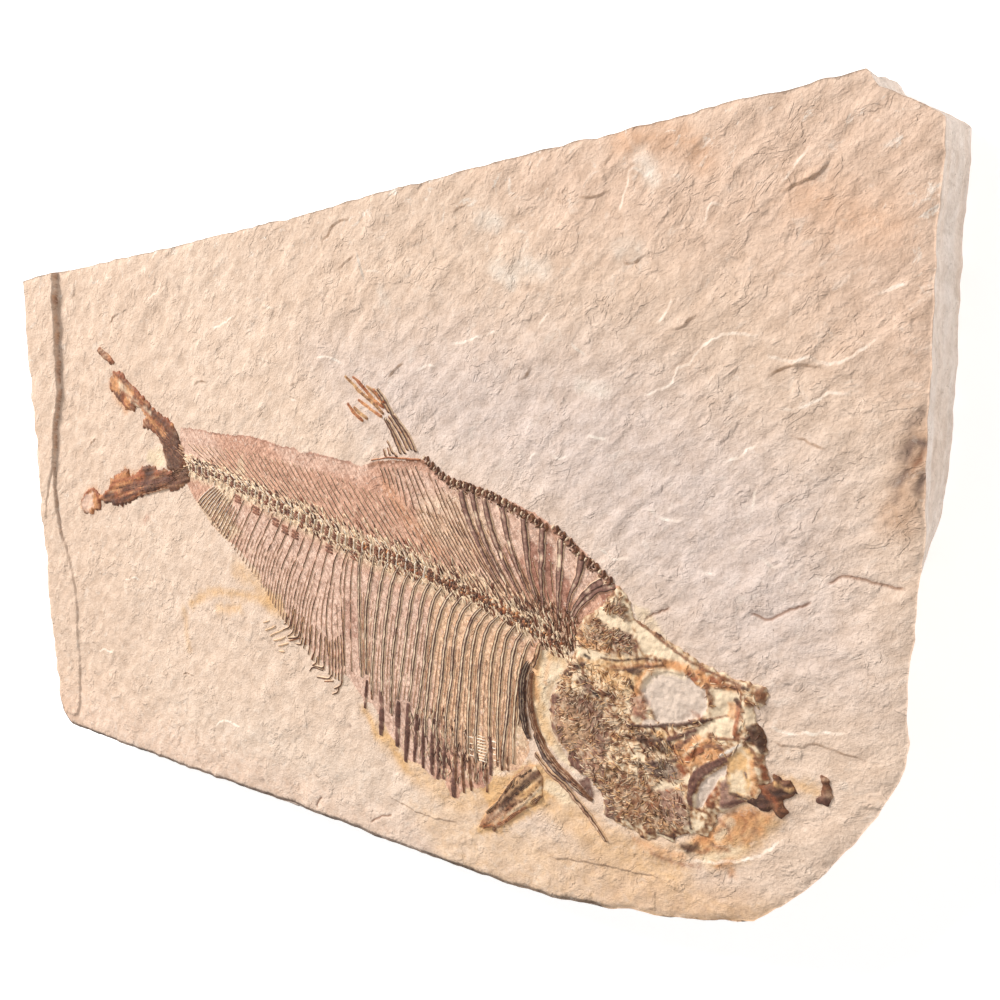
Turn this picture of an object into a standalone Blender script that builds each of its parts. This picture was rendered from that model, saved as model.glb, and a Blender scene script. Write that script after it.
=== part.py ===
"""Fossil fish slab: a deep-bodied, herring-like fish pressed flat in a slab of pale layered limestone.

The slab lies on its back with the fish facing up. Sizes here are millimetres, and each mesh is turned
into metres as it is made. +X runs towards the fish's head, +Y towards its back and +Z out of the face.
The origin is at the middle of the slab's underside. The fish has its own origin on its backbone,
FISH_AT on the slab, and its outlines are given from there.
"""

import math

import bmesh
import bpy
from mathutils import Matrix, Vector, geometry, noise

MM = 0.001

# The slab
LENGTH = 305.0
WIDTH = 160.0
FACE = 16.0  # height of the split face over the underside
RIM_STEP = 5.5  # spacing of points along the slab's edge
FACE_STEP = 8.0  # spacing of points over the face
BUMP = 0.45  # height of the face's soft bumps
EDGE_WEAR = 0.5  # how far the face rounds down to its rim
UNDERCUT = 6.0  # how far the broken corner slants in under the face

# The thin remnant of the next layer up, along the tail-side edge
REMNANT_TOP_RISE = 2.7
REMNANT_END_RISE = 1.9
REMNANT_RISER = 1.3  # width of its broken edge
SKIN_RISE = 0.9  # the lower step beside it
SKIN_LOW_RISE = 0.5

# The fish
FISH_AT = (2.5, 4.2)
GAP = 0.3  # between each bone and the face
BONE_BASE = FACE + GAP
SINK = 0.12  # how far a bone's round section is cut below its middle
RIB_COUNT = 17
SPINE_COUNT = 34
HAEMAL_COUNT = 22
FIN_RAY_COUNT = 30
VERTEBRA_COUNT = 40

SLAB_OUTLINE = (
    (-129.1, 78.1), (-109.5, 78.7), (-60, 78.2), (2.5, 78.4), (62.5, 79.6), (132.5, 79.7),
    (141.5, 80), (142.8, 77), (147.5, 74.2), (152.5, 70.6), (152.4, 65), (150.8, 54), (149.8, 40),
    (148.3, 24), (147.4, 8.5), (146.2, -2.6), (144.3, -15.8), (143.2, -25), (143.5, -30), (142.3, -35),
    (137.5, -43.8), (132.5, -50.8), (127.5, -56.8), (122.5, -62.3), (117, -67), (112.5, -71.3),
    (103, -73.8), (92.5, -75.8), (82.5, -77.2), (72.5, -78.9), (62.5, -79.8), (42.5, -80),
    (20, -79.3), (-18, -77.6), (-55, -76.4), (-98, -75.1), (-147.5, -73.2), (-151, -70.3),
    (-152.5, -63.8), (-151.5, -54), (-150, -41), (-147.5, -22), (-144.8, -6), (-143.2, 1.5),
    (-141.1, 12), (-138.2, 29), (-134.9, 47), (-131.9, 61),
)  # fmt: skip

# Feet of the two low steps on the tail side, from the top edge down
REMNANT_FOOT = (
    (-109.4, 82), (-110.5, 74.2), (-112.5, 69), (-113.5, 64), (-115.5, 54), (-117, 47), (-118, 42),
    (-120, 39), (-124.5, 29), (-126.5, 24), (-129, 18), (-133.5, 12), (-136.5, 7), (-139, 1), (-146, -2),
)  # fmt: skip
SKIN_FOOT = (
    (-129, 18), (-130.5, 12), (-131.5, 4), (-132, -2), (-130, -10), (-128.5, -20), (-129, -29),
    (-131, -36), (-133, -46), (-136, -56), (-138, -64), (-140.5, -68), (-144, -69.5), (-156, -70),
)  # fmt: skip

# The fish, seen from above its face
FISH_FIELD = (
    (-125, 0), (-108, -8), (-60, -8), (-38, -42), (0, -56), (30, -70), (42, -78), (100, -70), (134, -52),
    (134, -38), (120, -24), (92, -10), (72, 6), (40, 22), (24, 40), (6, 40), (8, 20), (-55, 30),
    (-92, 56), (-102, 52), (-88, 20), (-124, 10),
)  # fmt: skip
BACKBONE = (
    (68, -23.5), (62, -21), (50, -16.5), (35, -12), (20, -7.8), (5, -4.5), (-5, -1), (-15, 2.5),
    (-30, 7), (-45, 11), (-57, 14),
)  # fmt: skip

# Some of the ribs, spines and supports, by their place in the row. Those between are blends of these.
RIBS = (
    (0, ((14.5, -8.5), (12.2, -16), (10, -23), (8.3, -32), (7, -41), (5.3, -48))),
    (3, ((27, -11), (23.8, -17), (20.6, -24.5), (18, -32), (15.8, -40), (13.5, -52))),
    (6, ((36.5, -13.5), (32.8, -20), (30.2, -26.5), (27.7, -34), (25.3, -43), (20, -59))),
    (10, ((47, -16.5), (43.5, -22.5), (41.2, -28), (39.2, -36.5), (37, -46), (33.3, -63))),
    (14, ((54, -19), (51.7, -26), (50, -31), (48.7, -38.5), (47.3, -47), (45.8, -57))),
    (16, ((57.5, -20.5), (55, -27), (53.8, -33), (53, -40), (52, -48), (50.5, -54))),
)  # fmt: skip
LAST_RIB = ((9, -5.7), (8.6, -15), (7.8, -22), (6.4, -32), (5.2, -41))
SPINES = (
    (0, ((52, -17), (48.8, -10), (45, -3))),
    (5, ((42, -14), (37, -5), (31, 6))),
    (14, ((20, -7.5), (15, 2), (9, 11))),
    (22, ((-4, -1.5), (-9, 8), (-15, 15))),
    (28, ((-22, 5), (-29, 12), (-36, 18))),
    (33, ((-44, 11), (-50, 15.5), (-56, 20))),
)
HAEMALS = (
    (0, ((5, -5), (2, -15), (0, -25), (-0.5, -31.5))),
    (3, ((0, -4), (-3, -14), (-8, -22), (-10.5, -26.3))),
    (8, ((-10, 1), (-14, -6), (-20, -14), (-24, -18.5))),
    (14, ((-24, 5), (-28, -1), (-31, -6), (-33, -8.5))),
    (21, ((-46, 11), (-48, 8.5), (-50, 7), (-51, 6))),
)
FIN_RAYS = (
    (0, ((-0.5, -33.5), (-1, -37), (-2.5, -42))),
    (4, ((-7.5, -30), (-9, -34), (-12.5, -39))),
    (10, ((-18.5, -23), (-21.5, -27), (-25, -30.5))),
    (17, ((-29, -13.5), (-31.5, -17), (-33.5, -19))),
    (29, ((-50, 4.2), (-53.5, 2), (-55.5, 1))),
)

SHOULDER = ((61.5, -25.5), (58.8, -32), (57.9, -39), (59.3, -46), (63, -50.5), (69, -54), (74, -58.2))
SHOULDER_SPINE = ((62, -50), (66.5, -56), (71.5, -60.5), (77, -66.5))
PECTORAL_BASE = (59.5, -56.5)
PECTORAL_TIPS = ((57, -63), (52, -67.5), (46, -70), (42.5, -72.5), (46.5, -65), (51.5, -59.5))
SCUTES_REAR = ((36, 15), (39, 13), (42, 11), (48, 9.8), (55, 8.2), (61, 5.8), (65, 3.8), (68.5, 2))
SCUTES_FRONT = ((71.5, 0), (75, -2.6), (79, -5.6), (82.5, -8.6))
BLADES_REAR = (
    ((44, 10), (49, 0), (56, -12)), ((48.5, 9.5), (52, 0), (58.5, -11.5)),
    ((53, 8.5), (55.5, -2), (60.5, -13)), ((57, 7.5), (60, -5), (63, -14.5)),
    ((62, 5.5), (62.8, -5), (65.5, -16)), ((67.5, 2.5), (66.8, -7), (67.3, -17)),
)  # fmt: skip
BLADES_FRONT = (
    ((72.3, -0.5), (71.2, -8), (70.3, -17)), ((77, -4), (74.5, -11), (72, -17)),
    ((82.6, -8.8), (78, -12), (73, -17)),
)  # fmt: skip

HEAD = (
    (72.5, -26), (69, -29.5), (66.5, -34), (65.6, -39), (67, -45), (69.8, -49.6), (75, -53), (77, -57),
    (77.5, -61), (81, -61.5), (86, -63.5), (93, -62.8), (98, -59.5), (102.5, -58), (103.5, -54.5),
    (99.6, -54.5), (100, -49.5), (102.5, -45.8), (106, -42.6), (109.5, -40.2), (114.6, -40.6),
    (115, -36.8), (112.2, -33), (112.5, -30.8), (115.6, -30.2), (115.4, -27.4), (109, -26.8),
    (102.5, -24.6), (96, -20.8), (91, -18.2), (88, -17.2), (86.8, -13.5), (84.8, -10.8), (81.8, -14.4),
    (76.5, -17.4), (73.8, -20.2), (73.5, -23.5),
)  # fmt: skip
ORBIT = (95.8, -31.8)
ORBIT_RADII = (7.0, 4.6)
HEAD_BARS = (
    (((84, -40), (92, -38.6), (99, -36.8), (107, -34.4)), 0.9),
    (((93.5, -41), (98, -39), (104, -38.6), (111.5, -37.6)), 0.9),
    (((98.6, -54), (98.9, -49), (101.3, -45), (106.5, -41.6)), 1.0),
    (((75, -25.2), (82, -25.4), (90, -24), (99, -24.2), (112, -28.3)), 0.8),
    (((88, -17.5), (96, -21.6), (104, -25.8)), 0.6),
)
JAW_TIP = (
    (103.5, -50.4), (104.5, -47.2), (108, -48), (111, -46.5), (113.5, -44), (115.5, -45.5), (118, -44.5),
    (120.5, -47), (117.8, -48.2), (118.6, -50.4), (116, -52.2), (113, -50.6), (109, -51), (105.5, -52.2),
)  # fmt: skip
JAW_CHIP = ((125.2, -42), (126.8, -43), (127, -46.5), (125.5, -48.3), (124.3, -47.4), (125.2, -45))

FIN_BASE = ((21.5, 16), (26, 16.4), (33.5, 16.2))
FIN_TRUNK = ((31.5, 17), (28.5, 21), (25.5, 26))
FIN_TIPS = ((11, 36), (14.5, 35.2), (18, 33), (22.5, 32), (11.5, 28.8), (13.8, 25.6), (17, 25.2))
FIN_ROOTS = ((24.2, 26.5), (24.6, 26.8), (25, 27), (25.6, 26.6), (24, 26), (24.2, 25.6), (24.8, 25.2))
SHORT_RAYS = (((23.2, 16), (22.6, 19)), ((25, 16), (24, 20)), ((27.4, 16), (26, 20)))

UPPER_LOBE = (
    (-60.5, 16.5), (-60, 21), (-61.5, 25.5), (-66, 28), (-73, 34), (-78, 37.5), (-85, 42.2), (-90, 42.5),
    (-92.5, 39), (-88, 35), (-85, 31), (-79, 30.2), (-75.5, 29), (-74.5, 25), (-70, 23), (-67.5, 19),
    (-67.5, 16),
)  # fmt: skip
LOWER_LOBE = (
    (-60, 14.6), (-67, 14.8), (-74, 14.2), (-80, 14), (-85, 12), (-92, 13), (-99, 9.6), (-103, 6),
    (-109, 7.5), (-116, 6.5), (-119, 1.5), (-115, -0.8), (-109.5, 0.6), (-106, 4), (-100, 2), (-90, 2.8),
    (-84, 5), (-74, 6.6), (-66, 7), (-60, 9.4),
)  # fmt: skip
TAIL_RAYS = (
    ((-60, 19), (-70, 27.5), (-84, 40.5)), ((-61, 17.5), (-72, 26), (-85, 37)),
    ((-60, 13.5), (-75, 12.5), (-92, 10.5), (-102, 6.5)), ((-60, 12.5), (-75, 10.8), (-92, 7.5)),
    ((-60, 11.2), (-75, 9), (-92, 4.6), (-103, 3.4)),
)  # fmt: skip
TAIL_STALK = ((-59.5, 17), (-62, 15), (-64, 13))
TAIL_TIP = ((-87.5, 45.4), (-90, 47.6), (-94.6, 50.2), (-96, 49.4), (-93, 46.6), (-90, 45), (-88.4, 44.6))


def clear_scene():
    for item in list(bpy.data.objects):
        bpy.data.objects.remove(item)


def new_collection(name):
    collection = bpy.data.collections.new(name)
    bpy.context.scene.collection.children.link(collection)
    return collection


def new_material(name, colour, roughness):
    material = bpy.data.materials.new(name)
    material.use_nodes = True
    shader = material.node_tree.nodes["Principled BSDF"]
    shader.inputs["Base Color"].default_value = (*colour, 1)
    shader.inputs["Roughness"].default_value = roughness
    shader.inputs["Metallic"].default_value = 0
    return material


def smooth_step(low, high, value):
    part = min(1, max(0, (value - low) / (high - low)))
    return part * part * (3 - 2 * part)


def wobble(x, y, size, layer):
    """Smooth bumps between about -1 and 1, size millimetres apart."""
    return noise.noise(Vector((x / size, y / size, layer)))


def curve_through(points, steps):
    """Points along a smooth curve through the given ones, which it passes in order."""
    ends = [Vector(p) for p in points]
    ends = [2 * ends[0] - ends[1], *ends, 2 * ends[-1] - ends[-2]]
    found = []
    for i in range(1, len(ends) - 2):
        before, start, end, after = ends[i - 1 : i + 3]
        for k in range(steps):
            t = k / steps
            slope = (end - before) * t + (4 * end - after - 5 * start + 2 * before) * t**2
            found.append(start + (slope + (3 * start - before - 3 * end + after) * t**3) / 2)
    return [*found, ends[-2]]


def point_at(points, part):
    """The point that lies this part of the way along a line of points, by length."""
    lengths = [(b - a).length for a, b in zip(points, points[1:])]
    left = part * sum(lengths)
    for start, end, length in zip(points, points[1:], lengths):
        if left <= length:
            return start.lerp(end, left / length)
        left -= length
    return points[-1]


def evenly(outline, step):
    """Points around a closed outline, about step apart, starting at its first point."""
    around = [Vector(p) for p in (*outline, outline[0])]
    length = sum((b - a).length for a, b in zip(around, around[1:]))
    count = round(length / step)
    return [point_at(around, k / count) for k in range(count)]


def nearest(points, x, y):
    """The distance to a line of points."""
    spot = Vector((x, y))
    best = math.inf
    for start, end in zip(points, points[1:]):
        on_line, part = geometry.intersect_point_line(spot, start, end)
        if part <= 0:
            on_line = start
        elif part >= 1:
            on_line = end
        best = min(best, (Vector(on_line[:2]) - spot).length)
    return best


def inside_by(outline, x, y):
    """How far a place is inside an outline, or minus how far outside it."""
    inside = False
    previous = outline[-1]
    for corner in outline:
        if (corner[1] > y) != (previous[1] > y):
            crossing = (previous[0] - corner[0]) * (y - corner[1]) / (previous[1] - corner[1])
            inside ^= x < crossing + corner[0]
        previous = corner
    away = nearest([Vector(p) for p in (*outline, outline[0])], x, y)
    return away if inside else -away


REMNANT = (*REMNANT_FOOT, (-170, -2), (-170, 82))
SKIN = (*SKIN_FOOT, (-170, -70), (-170, 18))


def remnant_rise(x, y):
    """Height of the two thin layers left on the tail-side edge."""
    height = REMNANT_END_RISE + (REMNANT_TOP_RISE - REMNANT_END_RISE) * smooth_step(0, 78, y)
    upper = height * smooth_step(0, REMNANT_RISER, inside_by(REMNANT, x, y))
    skin_height = SKIN_LOW_RISE + (SKIN_RISE - SKIN_LOW_RISE) * smooth_step(-15, 5, y)
    lower = skin_height * smooth_step(0, REMNANT_RISER, inside_by(SKIN, x, y))
    return max(upper, lower)


def face_height(x, y):
    """The split face: soft bumps that die out under the fish, worn down at the rim."""
    inside = inside_by(SLAB_OUTLINE, x, y)
    fish_x = x - FISH_AT[0]
    fish_y = y - FISH_AT[1]
    clear_of_fish = smooth_step(0, 9, -inside_by(FISH_FIELD, fish_x, fish_y))
    bumps = wobble(x, y, 34, 1.3) + 0.6 * wobble(x, y, 15, 5.1)
    wear = EDGE_WEAR * (1 + wobble(x, y, 9, 8.2)) * smooth_step(5, 0, inside)
    return FACE + remnant_rise(x, y) + BUMP * clear_of_fish * bumps - wear * clear_of_fish


def outward(points, i):
    """The direction out of an anticlockwise or clockwise outline at one of its points."""
    along = points[(i + 1) % len(points)] - points[i - 1]
    side = Vector((along.y, -along.x)).normalized()
    area = sum(a.x * b.y - a.y * b.x for a, b in zip(points, points[1:] + points[:1]))
    return side if area > 0 else -side


def finish_mesh(bm, name, material, collection):
    """An object from a mesh in millimetres."""
    bmesh.ops.recalc_face_normals(bm, faces=bm.faces)
    bm.transform(Matrix.Scale(MM, 4))
    mesh = bpy.data.meshes.new(name)
    bm.to_mesh(mesh)
    bm.free()
    mesh.materials.append(material)
    item = bpy.data.objects.new(name, mesh)
    collection.objects.link(item)
    return item


def loft_walls(bm, rings):
    """Side faces between stacked rings of points, and a flat face under the lowest."""
    stacked = [[bm.verts.new(p) for p in ring] for ring in rings]
    for lower, upper in zip(stacked, stacked[1:]):
        for i in range(len(lower)):
            bm.faces.new((lower[i - 1], lower[i], upper[i], upper[i - 1]))
    bm.faces.new(reversed(stacked[0]))
    return stacked[-1]


def cover(bm, rim, inner, lines, height):
    """A face of triangles from a rim through inner points and along lines, raised to its height."""
    flat = [Vector(v.co[:2]) for v in rim]
    edges = [(i, (i + 1) % len(rim)) for i in range(len(rim))]
    for line in lines:
        edges += [(len(flat) + i, len(flat) + i + 1) for i in range(len(line) - 1)]
        flat += line
    flat += inner
    points, _, faces, origins, _, _ = geometry.delaunay_2d_cdt(flat, edges, [], 1, 1e-4)
    verts = []
    for point, origin in zip(points, origins):
        on_rim = [i for i in origin if i < len(rim)]
        if on_rim:
            verts.append(rim[on_rim[0]])
        else:
            verts.append(bm.verts.new((point.x, point.y, height(point.x, point.y))))
    for face in faces:
        bm.faces.new([verts[i] for i in face])


def scattered(outline, step, margin, avoid, seed):
    """Points in staggered rows over an outline, each a little off its place, clear of its rim and of lines."""
    xs = [p[0] for p in outline]
    ys = [p[1] for p in outline]
    found = []
    rows = int((max(ys) - min(ys)) / (step * 0.87)) + 1
    columns = int((max(xs) - min(xs)) / step) + 2
    for row in range(rows):
        for column in range(columns):
            x = min(xs) + (column - (row % 2) / 2) * step
            y = min(ys) + row * step * 0.87
            x += 0.3 * step * wobble(x, y, 1.7, seed)
            y += 0.3 * step * wobble(x, y, 1.7, seed + 9)
            clear = all(nearest(line, x, y) > step / 2 for line in avoid)
            if clear and inside_by(outline, x, y) > margin:
                found.append(Vector((x, y)))
    return found


def wall_ring(rim, level, bulge):
    """The slab's rim at a height: bulged by uneven layers, and slanted in under the broken corner."""
    ring = []
    for i, point in enumerate(rim):
        broken = smooth_step(58, 18, (point - Vector((141, -36))).length)
        layers = bulge + 0.45 * wobble(point.x, point.y, 14, level) + 0.3 * wobble(point.x, point.y, 5, level)
        out = layers - UNDERCUT * broken * (1 - level / FACE)
        side = outward(rim, i)
        ring.append((point.x + side.x * out, point.y + side.y * out, level))
    return ring


def make_slab(material, collection):
    rim = evenly(SLAB_OUTLINE, RIM_STEP)
    rings = [wall_ring(rim, 0, -1.3), wall_ring(rim, 1.1, -0.3), wall_ring(rim, 6.5, -0.2)]
    rings += [wall_ring(rim, 11, -0.5), wall_ring(rim, 14.4, -0.1)]
    rings.append([(p.x, p.y, face_height(p.x, p.y)) for p in rim])
    foot = [Vector(p) for p in REMNANT_FOOT[1:-1]]
    crest = [p - Vector((REMNANT_RISER * 1.1, 0)) for p in foot]
    skin_foot = [Vector(p) for p in SKIN_FOOT[1:-1]]
    lines = [foot, crest, skin_foot]
    inner = scattered(SLAB_OUTLINE, FACE_STEP, FACE_STEP * 0.45, lines, 3.3)
    bm = bmesh.new()
    top = loft_walls(bm, rings)
    cover(bm, top, inner, lines, face_height)
    for axis, size in enumerate((LENGTH, WIDTH)):
        low = min(v.co[axis] for v in bm.verts)
        high = max(v.co[axis] for v in bm.verts)
        for vert in bm.verts:
            vert.co[axis] = ((vert.co[axis] - low) / (high - low) - 0.5) * size
    return finish_mesh(bm, "slab", material, collection)


def on_slab(points):
    return [Vector((p[0] + FISH_AT[0], p[1] + FISH_AT[1])) for p in points]


def bone_plate(outline, step, thick, rough, seed, collection):
    """A crushed plate of bone: flat below, lumpy on top, thin at its rim."""
    placed = [tuple(p) for p in on_slab(outline)]
    rim = evenly(placed, step)

    def height(x, y):
        lumps = wobble(x, y, 7, seed) + 0.7 * wobble(x, y, 3.2, seed + 2)
        full = smooth_step(-step / 2, step * 1.6, inside_by(placed, x, y))
        return BONE_BASE + thick * (0.45 + 0.55 * full) + rough * lumps * full

    low = [(p.x, p.y, BONE_BASE - GAP / 2) for p in rim]
    high = [(p.x, p.y, height(p.x, p.y)) for p in rim]
    bm = bmesh.new()
    top = loft_walls(bm, [low, high])
    cover(bm, top, scattered(placed, step, step * 0.5, [], seed), [], height)
    return finish_mesh(bm, "plate", bone_material(), collection)


def bone_material():
    return bpy.data.materials["fossil_bone"]


def mesh_from_curve(item, collection):
    """The solid of a curve with its caps welded. The curve is removed."""
    bpy.context.view_layer.update()
    solid = item.evaluated_get(bpy.context.evaluated_depsgraph_get())
    mesh = bpy.data.meshes.new_from_object(solid)
    bm = bmesh.new()
    bm.from_mesh(mesh)
    bmesh.ops.transform(bm, matrix=item.matrix_world, verts=bm.verts)
    bmesh.ops.remove_doubles(bm, verts=bm.verts, dist=1e-6)
    bmesh.ops.recalc_face_normals(bm, faces=bm.faces)
    bm.to_mesh(mesh)
    bm.free()
    mesh.materials.clear()
    mesh.materials.append(bone_material())
    bpy.data.objects.remove(item)
    welded = bpy.data.objects.new("bone", mesh)
    collection.objects.link(welded)
    return welded


def bone(points, widths, height, sides, collection):
    """One long bone: a tube of the given half widths along its points, pressed down to its height."""
    curve = bpy.data.curves.new("bone", "CURVE")
    curve.dimensions = "3D"
    curve.twist_mode = "Z_UP"
    curve.bevel_depth = MM
    curve.bevel_resolution = sides
    curve.use_fill_caps = True
    spline = curve.splines.new("POLY")
    spline.points.add(len(points) - 1)
    for i, (spot, point) in enumerate(zip(spline.points, on_slab(points))):
        place = i / (len(points) - 1) * (len(widths) - 1)
        left = min(int(place), len(widths) - 2)
        spot.co = (point.x * MM, point.y * MM, 0, 1)
        spot.radius = widths[left] + (widths[left + 1] - widths[left]) * (place - left)
    item = bpy.data.objects.new("bone", curve)
    item.location.z = (BONE_BASE - SINK) * MM
    item.scale.z = (height + SINK) / max(widths)
    collection.objects.link(item)
    return mesh_from_curve(item, collection)


def between(patterns, place):
    """One of a row of bones, blended from the two patterns beside its place."""
    for (first, start), (last, end) in zip(patterns, patterns[1:]):
        if place <= last:
            part = (place - first) / (last - first)
            return [Vector(a).lerp(Vector(b), part) for a, b in zip(start, end)]
    return [Vector(p) for p in patterns[-1][1]]


def onto(line, point):
    """The place on a line of points that is closest to a point."""
    ends = zip(line, line[1:])
    spots = [a.lerp(b, min(1, max(0, (point - a).dot(b - a) / (b - a).length_squared))) for a, b in ends]
    return min(spots, key=lambda spot: (spot - point).length)


def row_of_bones(patterns, count, widths, height, collection, root_line=None):
    """A row of slender bones, each starting on the line they grow from where one is given."""
    last = patterns[-1][0]
    for k in range(count):
        points = between(patterns, k * last / (count - 1))
        if root_line:
            points[0] = onto(root_line, points[0])
        bone(points, widths, height, 0, collection)


def cube(name, low, high, collection):
    """A block between two corners, kept as a cutter."""
    bm = bmesh.new()
    bmesh.ops.create_cube(bm, size=1)
    for vert in bm.verts:
        for axis in range(3):
            vert.co[axis] = low[axis] + (high[axis] - low[axis]) * (vert.co[axis] + 0.5)
    item = finish_mesh(bm, name, bone_material(), collection)
    item.hide_render = True
    item.display_type = "WIRE"
    return item


def apply_boolean(item, operation, others=None, cutter=None):
    change = item.modifiers.new("join", "BOOLEAN")
    change.operation = operation
    change.solver = "EXACT"
    if cutter is None:
        change.operand_type = "COLLECTION"
        change.collection = others
    else:
        change.object = cutter
    bpy.context.view_layer.update()
    solid = item.evaluated_get(bpy.context.evaluated_depsgraph_get())
    mesh = bpy.data.meshes.new_from_object(solid)
    item.modifiers.clear()
    item.data = mesh


def fuse(name, pieces, cutters, collection):
    """One bone of all the pieces, cut level GAP above the slab's face. The pieces are removed."""
    first = pieces.objects[0]
    pieces.objects.unlink(first)
    collection.objects.link(first)
    if len(pieces.objects):
        apply_boolean(first, "UNION", others=pieces)
    for cutter in cutters:
        apply_boolean(first, "DIFFERENCE", cutter=cutter)
    for piece in list(pieces.objects):
        bpy.data.objects.remove(piece)
    bpy.data.collections.remove(pieces)
    first.name = name
    first.data.name = name
    first.data.shade_smooth()
    first.data.set_sharp_from_angle(angle=math.radians(35))
    return first


def vertebrae(collection):
    """The beaded column: each bead is a vertebra, wide at its ends and waisted between."""
    line = curve_through(BACKBONE, 6)
    points = [point_at(line, k / (2 * VERTEBRA_COUNT)) for k in range(2 * VERTEBRA_COUNT + 1)]
    widths = [(1.15 if k % 2 else 1.9) * (1 - 0.3 * k / (2 * VERTEBRA_COUNT)) for k in range(len(points))]
    bone(points, widths, 1.5, 1, collection)


def make_backbone(floor, collection):
    pieces = new_collection("backbone_pieces")
    vertebrae(pieces)
    line = curve_through(BACKBONE, 2)
    row_of_bones(RIBS, RIB_COUNT, (0.35, 0.6, 0.6, 0.6, 0.75, 0.7), 0.8, pieces, line)
    row_of_bones(SPINES, SPINE_COUNT, (0.45, 0.4, 0.2), 0.5, pieces, line)
    row_of_bones(HAEMALS, HAEMAL_COUNT, (0.45, 0.4, 0.35, 0.2), 0.5, pieces, line)
    bone(LAST_RIB, (0.35, 0.5, 0.5, 0.3), 0.6, 0, pieces)
    return fuse("backbone_and_ribs", pieces, [floor], collection)


def make_head(floor, cutters, collection):
    pieces = new_collection("head_pieces")
    bone_plate(HEAD, 3.0, 1.1, 0.5, 4.4, pieces)
    for points, width in HEAD_BARS:
        bone(points, (width * 0.6, width, width, width * 0.6), 2.1, 0, pieces)
    bm = bmesh.new()
    bmesh.ops.create_cone(bm, cap_ends=True, segments=20, radius1=1, radius2=1.12, depth=8)
    centre = on_slab([ORBIT])[0]
    bmesh.ops.scale(bm, vec=(*ORBIT_RADII, 1), verts=bm.verts)
    bmesh.ops.translate(bm, vec=(centre.x, centre.y, BONE_BASE), verts=bm.verts)
    orbit = finish_mesh(bm, "orbit_cutter", bone_material(), cutters)
    orbit.hide_render = True
    orbit.display_type = "WIRE"
    return fuse("skull", pieces, [floor, orbit], collection)


def make_plain_plate(name, outline, step, thick, rough, seed, floor, collection):
    pieces = new_collection(name + "_pieces")
    bone_plate(outline, step, thick, rough, seed, pieces)
    return fuse(name, pieces, [floor], collection)


def make_back_plates(name, scutes, blades, count, floor, collection):
    """A saw-edged row of scutes, each a low tooth, with the blade-like bones that hang from it."""
    pieces = new_collection(name + "_pieces")
    line = curve_through(scutes, 4)
    points = [point_at(line, k / (2 * count)) for k in range(2 * count + 1)]
    bone(points, [0.7 if k % 2 else 1.5 for k in range(len(points))], 1.2, 1, pieces)
    for blade in blades:
        bone(blade, (0.95, 0.8, 0.35), 0.9, 0, pieces)
    return fuse(name, pieces, [floor], collection)


def make_dorsal_fin(floor, collection):
    pieces = new_collection("dorsal_fin_pieces")
    bone(FIN_BASE, (0.7, 0.7, 0.9), 0.7, 0, pieces)
    bone(FIN_TRUNK, (2.3, 1.6, 1.3), 0.9, 1, pieces)
    for root, tip in zip(FIN_ROOTS, FIN_TIPS):
        bone((root, Vector(root).lerp(Vector(tip), 0.5), tip), (0.45, 0.4, 0.2), 0.6, 0, pieces)
    for ray in SHORT_RAYS:
        bone(ray, (0.5, 0.3), 0.6, 0, pieces)
    return fuse("dorsal_fin", pieces, [floor], collection)


def make_anal_fin(floor, collection):
    """The long fin below the tail end: a comb of rays joined along the edge of the body."""
    pieces = new_collection("anal_fin_pieces")
    last = FIN_RAYS[-1][0]
    edge = [between(FIN_RAYS, k * last / 10)[1] for k in range(11)]
    bone(edge, (0.4, 0.5, 0.4), 0.4, 0, pieces)
    row_of_bones(FIN_RAYS, FIN_RAY_COUNT, (0.25, 0.4, 0.25), 0.5, pieces)
    return fuse("anal_fin", pieces, [floor], collection)


def make_pectoral_fin(floor, collection):
    pieces = new_collection("pectoral_fin_pieces")
    for tip in PECTORAL_TIPS:
        middle = Vector(PECTORAL_BASE).lerp(Vector(tip), 0.5)
        bone((PECTORAL_BASE, middle, tip), (0.8, 0.9, 0.35), 0.8, 0, pieces)
    return fuse("pectoral_fin", pieces, [floor], collection)


def make_shoulder(floor, collection):
    pieces = new_collection("shoulder_pieces")
    bone(curve_through(SHOULDER, 2), (0.8, 1.5, 1.7, 1.7, 1.2, 0.9, 0.4), 1.4, 1, pieces)
    bone(curve_through(SHOULDER_SPINE, 1), (1.0, 0.9, 0.6, 0.3), 1.0, 0, pieces)
    return fuse("shoulder_girdle", pieces, [floor], collection)


def make_tail(floor, collection):
    pieces = new_collection("tail_pieces")
    bone_plate(UPPER_LOBE, 3.2, 0.5, 0.15, 6.1, pieces)
    bone_plate(LOWER_LOBE, 3.2, 0.5, 0.15, 7.1, pieces)
    for ray in (*TAIL_RAYS, TAIL_STALK):
        bone(ray, (0.5, 0.55, 0.45, 0.3), 0.9, 0, pieces)
    return fuse("tail_fin", pieces, [floor], collection)


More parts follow.
